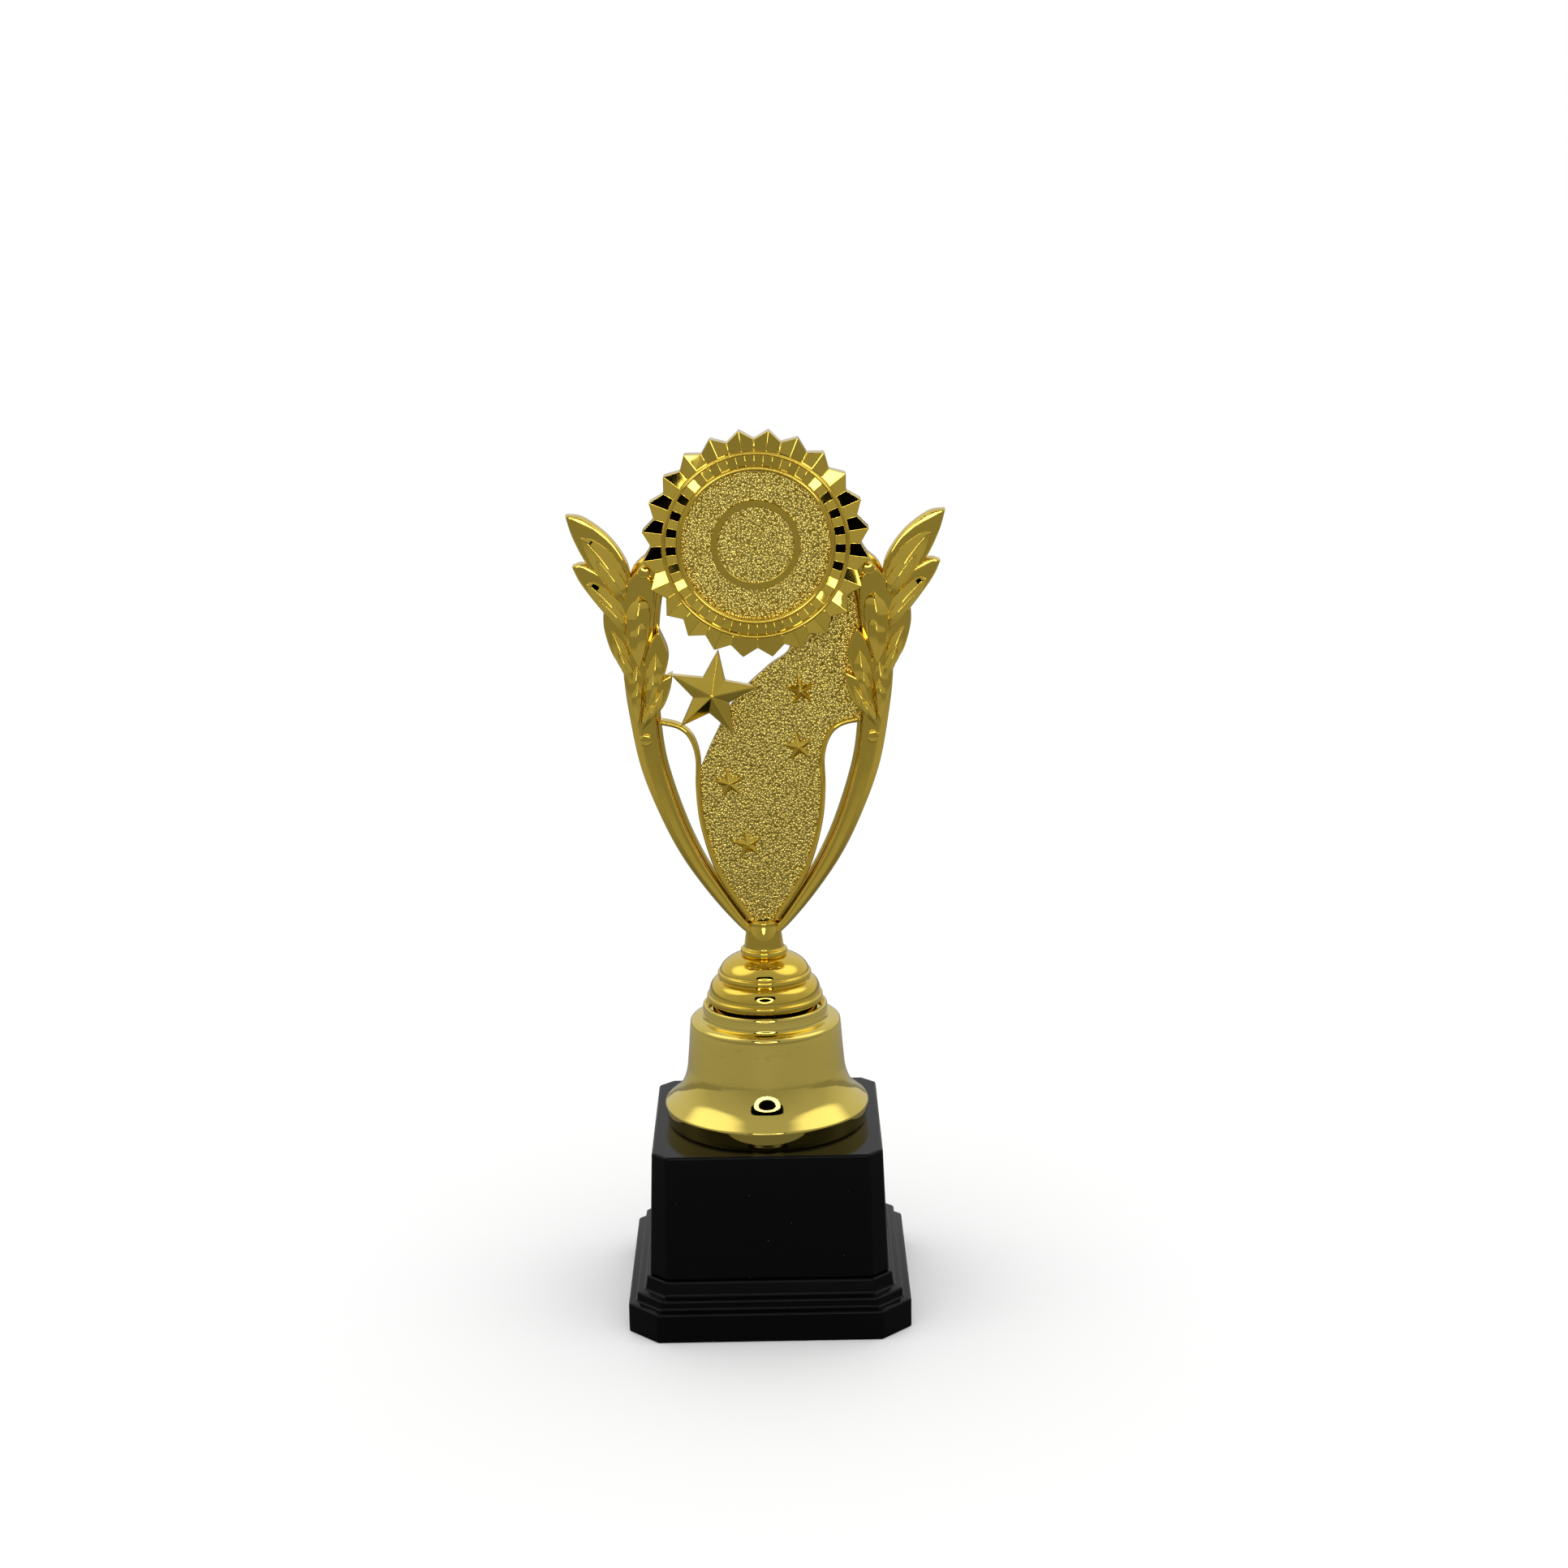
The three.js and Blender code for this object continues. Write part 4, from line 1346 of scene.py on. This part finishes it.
@dataclass(frozen=True)
class Leaf:
    """One laurel leaf of the left sprig: its tip, its base and the points its two sides go through."""

    tip: Point
    base: Point
    left: tuple[Point, ...]
    right: tuple[Point, ...]

    def sides(self, share: float = 1.0) -> tuple[Line, Line]:
        """The two side lines from tip to base, shrunk towards the base by a share."""

        def shrink(point: Point) -> Point:
            """A point drawn in towards the base."""
            return tuple(b + (p - b) * share for p, b in zip(point, self.base))

        tip = shrink(self.tip)
        left = Line((tip, *(shrink(p) for p in self.left), self.base))
        right = Line((tip, *(shrink(p) for p in self.right), self.base))
        return left, right


@dataclass(frozen=True)
class Layer:
    """One of the leaf shapes that lie in each other: its share of the leaf and how far it stands out.

    Its sides are rounded over an edge, and its front has two sloping faces that meet in a crest, or a round crown.
    """

    name: str
    share: float
    lift: float
    edge: float
    slope: float
    crown: float


@dataclass
class Laurels:
    """The two laurel sprigs: seven overlapping leaves each, with a smaller ridged leaf in each leaf."""

    leaves: tuple[Leaf, ...] = (
        Leaf(
            (-52.1, 228.9), (-36.5, 205.5),
            ((-50.3, 222.8), (-46.7, 215.5), (-41.5, 208.5)),
            ((-47.5, 228.1), (-41, 223.3), (-36.4, 217), (-34.8, 211)),
        ),
        Leaf(
            (-50.7, 214.8), (-36.6, 196),
            ((-48.6, 210.3), (-44.1, 204), (-39.9, 199)),
            ((-47.5, 215.4), (-42.2, 212.1), (-37.6, 207.5), (-35.8, 202)),
        ),
        Leaf(
            (-42.4, 202.6), (-35, 181),
            ((-42.4, 197.5), (-40.5, 190.6), (-37.2, 185.3)),
            ((-39.5, 200.2), (-36.6, 195.8), (-34.2, 189)),
        ),
        Leaf(
            (-32.3, 213.9), (-32.9, 186),
            ((-36.5, 209.2), (-38.2, 203), (-37.5, 196)),
            ((-28.9, 211), (-28.2, 205), (-29.3, 197.8)),
        ),
        Leaf(
            (-27.4, 196.9), (-30.5, 174),
            ((-30.6, 191.3), (-32.4, 184), (-32.4, 178)),
            ((-25, 190.8), (-25.4, 186), (-28, 179.5)),
        ),
        Leaf(
            (-33.3, 194.5), (-33.4, 170.5),
            ((-36.9, 187), (-37, 181), (-34.8, 173.8)),
            ((-31.6, 188), (-31.9, 182.6), (-32.6, 176)),
        ),
        Leaf(
            (-23.9, 184.4), (-32.8, 168.6),
            ((-28.9, 181.4), (-32.4, 175.1)),
            ((-24.5, 180.2), (-26.6, 175.2), (-30.1, 171.5)),
        ),
    )
    layers: tuple[Layer, ...] = (
        Layer("leaf", 1.0, 0.0, 0.42, 0.0, 0.12),
        Layer("leaf_ridge", 0.74, 0.35, 0.2, 0.5, 0.0),
        Layer("leaf_heart", 0.5, 1.25, 0.22, 0.58, 0.0),
    )
    front: float = -4.75
    front_step: float = 0.2
    back: float = 0.3
    root: float = 1.0
    crest: float = 0.44
    full_width: float = 5.0
    rows: int = 36

    def blade(self, leaf: Leaf, layer: Layer, front: float, back: float) -> bpy.types.Object:
        """One leaf-shaped solid.

        Args:
            leaf: The leaf that it is part of.
            layer: Its size in that leaf, and the form of its front.
            front: Depth of its front edge.
            back: Depth of its flat back.

        Returns:
            The solid.
        """
        shares = [0.0, 0.015, 0.035, 0.07, 0.12, 0.2, 0.3, 0.4, 0.44, 0.47, 0.5]
        shares += [1 - share for share in reversed(shares[:-1])]
        left, right = (line.evenly(self.rows + 1) for line in leaf.sides(layer.share))
        edge = layer.edge
        places = []
        for i in range(self.rows + 1):
            width = (right[i] - left[i]).length
            row = []
            for share in shares:
                spot = left[i].lerp(right[i], share)
                inside = min(share, 1 - share)
                to_edge = min(inside * width / edge, 1.0)
                drop = edge * (1 - math.sqrt(1 - (1 - to_edge) ** 2))
                swell = layer.crown * (1 - (2 * share - 1) ** 2) * min(width / self.full_width, 1.0)
                rounding = max(inside - self.crest, 0.0) ** 2 / (1 - 2 * self.crest)
                swell += layer.slope * width * (inside - rounding)
                row.append(Vector((spot.x, front + drop - swell, spot.y)))
            places.append(row)
        piece = shaped_grid(layer.name, places)
        close_behind(piece, back)
        return piece

    def sprig(self, side: Side) -> bpy.types.Object:
        """One sprig, with its leaves rising in layers."""
        parts = []
        for number, leaf in enumerate(self.leaves):
            front = self.front - self.front_step * number
            for layer in self.layers:
                back = front + self.root if layer.lift else self.back
                parts.append(self.blade(leaf, layer, front - layer.lift, back))
        piece = joined(f"{side.name.lower()}_laurel_sprig", parts)
        if side is Side.RIGHT:
            with editing(piece):
                across = (True, False, False)
                bpy.ops.transform.mirror(constraint_axis=across, center_override=(0.0, 0.0, 0.0))
                bpy.ops.mesh.normals_make_consistent(inside=False)
        smooth(piece, 38.0)
        return piece

    def build(self, finishes: Finishes) -> None:
        """Makes and dresses both sprigs."""
        for side in Side:
            name = side.name.lower()
            dress(self.sprig(side), finishes.plate, "gold_plate", f"{name}_laurel")


@dataclass
class Pegs:
    """The four round peg heads that lock the bars and sprigs together."""

    upper: Point = (30.9, 213.0)
    lower: Point = (31.7, 165.3)
    upper_front: float = -6.3
    lower_front: float = -3.75
    radius: float = 1.7
    shank: float = 0.9
    seat: float = -3.0
    back: float = 2.9

    def peg(self, name: str, place: Point, front: float) -> bpy.types.Object:
        """One peg: a shank and a low flat head with a rounded edge.

        Args:
            name: Name of the new piece.
            place: Its x and height.
            front: Depth of the head's face.

        Returns:
            The peg.
        """
        edge = self.radius
        profile = [
            (self.shank, self.back),
            (self.shank, self.seat),
            (edge, self.seat),
            (edge, front + 0.32),
            (edge - 0.06, front + 0.16),
            (edge - 0.2, front + 0.05),
            (edge - 0.4, front),
            (0.05, front),
        ]
        piece = turned(name, profile, Axis.FRONT, place, 40)
        smooth(piece, 40.0)
        return piece

    def build(self, finishes: Finishes) -> None:
        """Makes and dresses the four pegs."""
        for side in Side:
            word = side.name.lower()
            for level, (x, z), front in (
                ("upper", self.upper, self.upper_front),
                ("lower", self.lower, self.lower_front),
            ):
                piece = self.peg(f"{word}_{level}_peg_head", (side.value * x, z), front)
                dress(piece, finishes.plate, "gold_plate", f"{word}_{level}_peg")


@dataclass
class Rosette:
    """The pleated rosette: pointed teeth, two beads with a finely pleated band between, and the disc."""

    centre: Point = (0.0, 220.7)
    teeth: int = 24
    tip: float = 31.3
    valley: float = 28.7
    root: float = 25.0
    back: float = -3.3
    tooth_front: float = -9.8
    pleat_fall: float = 0.81
    tooth_edge: float = 0.2
    band_pleats: int = 30
    band_front: float = -10.45
    band_fall: float = 0.54
    band_edge: float = 0.13
    outer_bead: Point = (24.6, 25.75)
    inner_bead: Point = (20.35, 21.8)
    bead_front: float = -11.5
    bead_round: float = 0.75
    ledge: Point = (17.4, 20.8)
    disc_back: float = -7.8
    disc_front: float = -9.1
    disc_radius: float = 20.3
    ring: Point = (10.4, 12.3)
    ring_front: float = -9.55
    grain: float = 0.6
    grain_height: float = 0.12
    grid: float = 0.27
    sides: int = 440

    def around(self, radius: float, share: float, depth: float) -> Vector:
        """A point at a radius and a share of the turn, counted from the top towards the left."""
        angle = math.pi / 2 + 2 * math.pi * share
        return Vector(
            (self.centre[0] + radius * math.cos(angle), depth, self.centre[1] + radius * math.sin(angle))
        )

    def pleated(
        self, name: str, pleats: int, radii: Sequence[Point], depths: Sequence[Point], start: int
    ) -> bpy.types.Object:
        """A ring of pleats.

        Args:
            name: Name of the new piece.
            pleats: Number of pleats round the ring.
            radii: For each level, the radius on a ridge and in a valley.
            depths: For each level, the depth on a ridge and in a valley.
            start: 0 to start on a ridge at the top, 1 to start in a valley.

        Returns:
            The ring.
        """
        rings = []
        for radius, depth in zip(radii, depths):
            ring = []
            for k in range(2 * pleats):
                which = (k + start) % 2
                ring.append(self.around(radius[which], k / (2 * pleats), depth[which]))
            rings.append(ring)
        return lofted(name, rings, closed=True)

    def tooth_ring(self) -> bpy.types.Object:
        """The ring of teeth, with a ridge on each tooth."""
        outer, inner = (self.tip, self.valley), (self.root, self.root)
        flat, front = (self.back, self.back), (self.tooth_front, self.tooth_front + self.pleat_fall)
        radii, depths = (outer, outer, inner, inner), (flat, front, front, flat)
        piece = self.pleated("teeth", self.teeth, radii, depths, 1)
        round_edges(piece, self.tooth_edge, 3, 12.0)
        smooth_flats(piece)
        return piece

    def band(self) -> bpy.types.Object:
        """The finely pleated band between the beads."""
        tuck = 0.5
        inner, outer = (self.inner_bead[1] - tuck,) * 2, (self.outer_bead[0] + tuck,) * 2
        flat, front = (self.back, self.back), (self.band_front, self.band_front + self.band_fall)
        radii, depths = (outer, outer, inner, inner), (flat, front, front, flat)
        piece = self.pleated("band", self.band_pleats, radii, depths, 0)
        round_edges(piece, self.band_edge, 2, 12.0)
        smooth_flats(piece)
        return piece

    def bead(self, name: str, radii: Point) -> bpy.types.Object:
        """A half-round bead."""
        inner, outer = radii
        half = (outer - inner) / 2
        middle = inner + half
        back, shoulder = self.back + 0.1, self.bead_front + self.bead_round + 0.15
        profile = [(inner, back), (inner, shoulder)]
        for k in range(1, 10):
            angle = math.pi * k / 10
            fall = self.bead_round * (1 - math.sin(angle))
            profile.append((middle - half * math.cos(angle), self.bead_front + fall))
        profile += [(outer, shoulder), (outer, back)]
        piece = turned(name, profile, Axis.FRONT, self.centre, 192, closed=True)
        smooth(piece, 50.0)
        return piece

    def rest(self) -> bpy.types.Object:
        """The ledge that the disc lies on."""
        front = self.disc_back + 0.05
        inner, outer = self.ledge
        profile = ((inner, self.back), (inner, front), (outer, front), (outer, self.back))
        return turned("ledge", profile, Axis.FRONT, self.centre, closed=True)

    def disc(self) -> bpy.types.Object:
        """The pebbled disc, its grain raised in the mesh."""
        rings = int(self.disc_radius / self.grid)
        places = []
        for i in range(rings + 1):
            radius = self.disc_radius * i / rings
            row = [self.around(radius, k / self.sides, self.disc_front) for k in range(self.sides)]
            places.append(row + [row[0]])
        piece = shaped_grid("pebbled_disc", places)
        weld(piece)
        roughened(piece, self.grain, self.grain_height)
        close_behind(piece, self.disc_back)
        smooth(piece, 60.0)
        return piece

    def plain_ring(self) -> bpy.types.Object:
        """The flat ring on the disc."""
        inner, outer = self.ring
        front, foot, cut = self.ring_front, self.disc_front + 0.5, 0.12
        profile = (
            (inner, foot),
            (inner, front + cut),
            (inner + cut, front),
            (outer - cut, front),
            (outer, front + cut),
            (outer, foot),
        )
        piece = turned("disc_ring", profile, Axis.FRONT, self.centre, 192, closed=True)
        smooth(piece, 30.0)
        return piece

    def build(self, finishes: Finishes) -> None:
        """Makes and dresses the holder, the disc and its ring."""
        parts = [
            self.tooth_ring(),
            self.band(),
            self.bead("outer", self.outer_bead),
            self.bead("inner", self.inner_bead),
            self.rest(),
        ]
        dress(joined("rosette_moulding", parts), finishes.plate, "gold_plate", "rosette_holder")
        dress(self.disc(), finishes.pebble, "gold_pebble", "rosette_disc")
        dress(self.plain_ring(), finishes.plate, "gold_plate")


# ---- studio ---------------------------------------------------------------------------------------


@dataclass
class Studio:
    """A pale floor in a softly lit tent with a ring lamp round the camera."""

    camera_place: tuple[float, float, float] = (6.56, -749.54, 329.82)
    pitch: float = 13.397
    roll: float = -1.03
    lens: float = 62.73
    sensor: float = 36.0
    tent: float = 0.33
    side_glow: float = 0.12
    back_glow: float = 0.32
    box_glow: float = 0.9
    box_place: tuple[float, float, float] = (0.6, 0.1, 0.8)
    lamp_radius: float = 198.0
    lamp_tube: float = 33.0
    lamp_rise: float = 64.0
    lamp_power: float = 5.5
    lamp_colour: tuple[float, float, float, float] = (1.0, 0.985, 0.95, 1.0)
    opening: tuple[float, float] = (318.0, 292.0)
    opening_rise: float = 305.0
    opening_back: float = 50.0
    dome: Point = (2.7, 0.35)
    floor_size: float = 20.0
    floor_hole: float = 34.0

    def camera(self) -> None:
        """The camera, slightly above the trophy and tilted a little."""
        pitch, roll = math.radians(self.pitch), math.radians(self.roll)
        right = Vector((1.0, 0.0, 0.0))
        up = Vector((0.0, math.sin(pitch), math.cos(pitch)))
        ahead = Vector((0.0, math.cos(pitch), -math.sin(pitch)))
        side_axis = right * math.cos(roll) + up * math.sin(roll)
        up_axis = up * math.cos(roll) - right * math.sin(roll)
        data = bpy.data.cameras.new("camera")
        data.lens = self.lens
        data.sensor_width = self.sensor
        data.clip_start = 0.01
        data.clip_end = 100.0
        camera = bpy.data.objects.new("camera", data)
        bpy.context.scene.collection.objects.link(camera)
        camera.location = Vector(self.camera_place) * MM
        camera.rotation_euler = Matrix((side_axis, up_axis, -ahead)).transposed().to_euler()
        bpy.context.scene.camera = camera

    def sky(self) -> None:
        """The tent: white behind the trophy, and a mid grey with two soft boxes where the gold mirrors it."""
        world = bpy.data.worlds.new("tent")
        bpy.context.scene.world = world
        world.use_nodes = True
        tree = world.node_tree
        tree.nodes.clear()
        way = add_node(tree, "ShaderNodeTexCoord").outputs["Generated"]
        split = add_node(tree, "ShaderNodeSeparateXYZ", links={"Vector": way})
        up = add_node(
            tree,
            "ShaderNodeMapRange",
            {"From Min": 0.0, "From Max": 1.0, "To Min": self.tent, "To Max": self.tent * 1.5},
            {"Value": split.outputs["Z"]},
        )
        behind = add_node(
            tree,
            "ShaderNodeMapRange",
            {"From Min": -0.1, "From Max": 0.9, "To Min": 0.0, "To Max": self.back_glow},
            {"Value": split.outputs["Y"]},
        )
        total = add_node(
            tree, "ShaderNodeMath", links={"0": up.outputs[0], "1": behind.outputs[0]}, operation="ADD"
        )
        aside = add_node(tree, "ShaderNodeMath", {"1": 2.0}, {"0": split.outputs["X"]}, operation="POWER")
        sides = add_node(
            tree, "ShaderNodeMath", {"1": self.side_glow}, {"0": aside.outputs[0]}, operation="MULTIPLY"
        )
        total = add_node(
            tree, "ShaderNodeMath", links={"0": total.outputs[0], "1": sides.outputs[0]}, operation="ADD"
        )
        for side in Side:
            across, along, high = self.box_place
            towards = Vector((side.value * across, along, high)).normalized()
            near = add_node(tree, "ShaderNodeVectorMath", {"1": towards}, {"0": way}, operation="DOT_PRODUCT")
            glow = add_node(
                tree,
                "ShaderNodeMapRange",
                {"From Min": 0.88, "From Max": 0.98, "To Min": 0.0, "To Max": self.box_glow},
                {"Value": near.outputs["Value"]},
                interpolation_type="SMOOTHSTEP",
            )
            total = add_node(
                tree, "ShaderNodeMath", links={"0": total.outputs[0], "1": glow.outputs[0]}, operation="ADD"
            )
        plain = linear("#ffffff")
        tent = add_node(tree, "ShaderNodeBackground", {"Color": plain}, {"Strength": total.outputs[0]})
        white = add_node(tree, "ShaderNodeBackground", {"Color": plain, "Strength": 1.0})
        low, high = self.dome
        dome = add_node(
            tree,
            "ShaderNodeMapRange",
            {"From Min": 0.0, "From Max": 1.0, "To Min": low, "To Max": high},
            {"Value": split.outputs["Z"]},
        )
        light = add_node(tree, "ShaderNodeBackground", {"Color": plain}, {"Strength": dome.outputs[0]})
        path = add_node(tree, "ShaderNodeLightPath")
        lit = add_node(
            tree,
            "ShaderNodeMixShader",
            links={"0": path.outputs["Is Diffuse Ray"], "1": tent.outputs[0], "2": light.outputs[0]},
        )
        mix = add_node(
            tree,
            "ShaderNodeMixShader",
            links={"0": path.outputs["Is Camera Ray"], "1": lit.outputs[0], "2": white.outputs[0]},
        )
        add_node(tree, "ShaderNodeOutputWorld", links={"Surface": mix.outputs[0]})
        world.cycles.sampling_method = "NONE"

    def glowing(self, name: str, strength: float) -> bpy.types.Material:
        """A material that only glows, or is black at zero strength."""
        material = bpy.data.materials.new(name)
        material.use_nodes = True
        tree = material.node_tree
        tree.nodes.clear()
        glow = add_node(tree, "ShaderNodeEmission", {"Color": self.lamp_colour, "Strength": strength})
        add_node(tree, "ShaderNodeOutputMaterial", links={"Surface": glow.outputs[0]})
        return material

    def lamp(self) -> None:
        """The ring lamp and the dark opening of the tent behind it, seen only in the gold."""
        middle = Vector(self.camera_place) * MM
        pitch = math.radians(self.pitch)
        face = (math.pi / 2 - pitch, 0.0, 0.0)
        above = Vector((0.0, math.sin(pitch), math.cos(pitch)))
        away = Vector((0.0, -math.cos(pitch), math.sin(pitch)))
        deselect()
        bpy.ops.mesh.primitive_torus_add(
            major_radius=self.lamp_radius * MM,
            minor_radius=self.lamp_tube * MM,
            major_segments=64,
            minor_segments=12,
            location=middle + above * self.lamp_rise * MM,
            rotation=face,
        )
        ring = named("ring_lamp")
        ring.data.materials.append(self.glowing("lamp_glow", self.lamp_power))
        behind = middle + away * self.opening_back * MM
        deselect()
        bpy.ops.mesh.primitive_circle_add(
            vertices=64,
            radius=(self.lamp_radius + self.lamp_tube) * MM,
            fill_type="NGON",
            location=behind + above * self.lamp_rise * MM,
            rotation=face,
        )
        low = named("tent_opening_low")
        low.data.materials.append(self.glowing("opening_black", 0.0))
        place = behind + above * self.opening_rise * MM
        deselect()
        bpy.ops.mesh.primitive_plane_add(size=2.0, location=place, rotation=face)
        opening = named("tent_opening")
        opening.scale = (self.opening[0] * MM, self.opening[1] * MM, 1.0)
        bpy.ops.object.transform_apply(location=False, rotation=False, scale=True)
        with editing(opening):
            bpy.ops.mesh.bevel(offset=0.16, segments=8, affect="VERTICES")
        opening.data.materials.append(low.data.materials[0])
        for prop in (ring, low, opening):
            prop.visible_camera = False
            prop.visible_diffuse = False
            prop.visible_shadow = False

    def floor(self) -> None:
        """The pale floor: an even white to the camera, while in the gold its colour holds painted shade, a painted
        shadow darkest near the trophy and darker again far off.

        It is cut away under the plinth and clear from below, so that the underside can be seen too.
        """
        deselect()
        bpy.ops.mesh.primitive_plane_add(size=self.floor_size, location=(0.0, 0.0, 0.0))
        plane = named("studio_floor")
        with editing(plane):
            bpy.ops.mesh.inset(thickness=self.floor_size / 2 - self.floor_hole * MM, depth=0.0)
            bpy.ops.mesh.delete(type="FACE")
        material = bpy.data.materials.new("matt_white_board")
        material.use_nodes = True
        tree = material.node_tree
        shader = tree.nodes["Principled BSDF"]
        place = add_node(tree, "ShaderNodeTexCoord").outputs["Object"]
        seen = add_node(tree, "ShaderNodeLightPath").outputs["Is Camera Ray"]
        away = add_node(tree, "ShaderNodeVectorMath", links={"0": place}, operation="LENGTH").outputs["Value"]
        # painted shadow: seen in the gold, the floor is painted dark near the trophy and lighter further out
        near = add_node(
            tree,
            "ShaderNodeMapRange",
            {"From Min": 0.12, "From Max": 0.33, "To Min": 0.17, "To Max": 0.38},
            {"Value": away},
            interpolation_type="SMOOTHSTEP",
        )
        # painted shade: seen in the gold, the floor is painted darker again far from the trophy
        far = add_node(
            tree,
            "ShaderNodeMapRange",
            {"From Min": 0.42, "From Max": 0.75, "To Min": 0.0, "To Max": 0.13},
            {"Value": away},
            interpolation_type="SMOOTHSTEP",
        )
        painted_shade = add_node(
            tree, "ShaderNodeMath", links={"0": near.outputs[0], "1": far.outputs[0]}, operation="SUBTRACT"
        )
        # the camera sees the even white; every other ray sees the painted shade and painted shadow
        tone = add_node(
            tree, "ShaderNodeMix", {"3": 0.93}, {"0": seen, "2": painted_shade.outputs[0]}, data_type="FLOAT"
        )
        tree.links.new(tone.outputs[0], shader.inputs["Base Color"])
        shader.inputs["Roughness"].default_value = 0.9
        shader.inputs["Specular IOR Level"].default_value = 0.0
        below = add_node(tree, "ShaderNodeNewGeometry").outputs["Backfacing"]
        clear = add_node(tree, "ShaderNodeBsdfTransparent").outputs[0]
        surface = add_node(
            tree, "ShaderNodeMixShader", links={"0": below, "1": shader.outputs[0], "2": clear}
        )
        output = tree.nodes["Material Output"]
        tree.links.new(surface.outputs[0], output.inputs["Surface"])
        plane.data.materials.append(material)

    def build(self) -> None:
        """Sets up the whole studio."""
        bpy.context.scene.view_settings.view_transform = "Standard"
        self.camera()
        self.sky()
        self.lamp()
        self.floor()


def main() -> None:
    """Loads the frame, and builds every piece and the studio."""
    logging.basicConfig(level=logging.INFO, format="%(message)s")
    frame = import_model()
    finishes = Finishes()
    Studio().build()
    Plinth().build(finishes)
    Fixings().build(frame, finishes)
    Riser().build(finishes)
    Handles().build(finishes)
    Panel().build(finishes)
    Stars().build(finishes)
    Laurels().build(finishes)
    Pegs().build(finishes)
    Rosette().build(finishes)


if __name__ == "__main__":
    main()
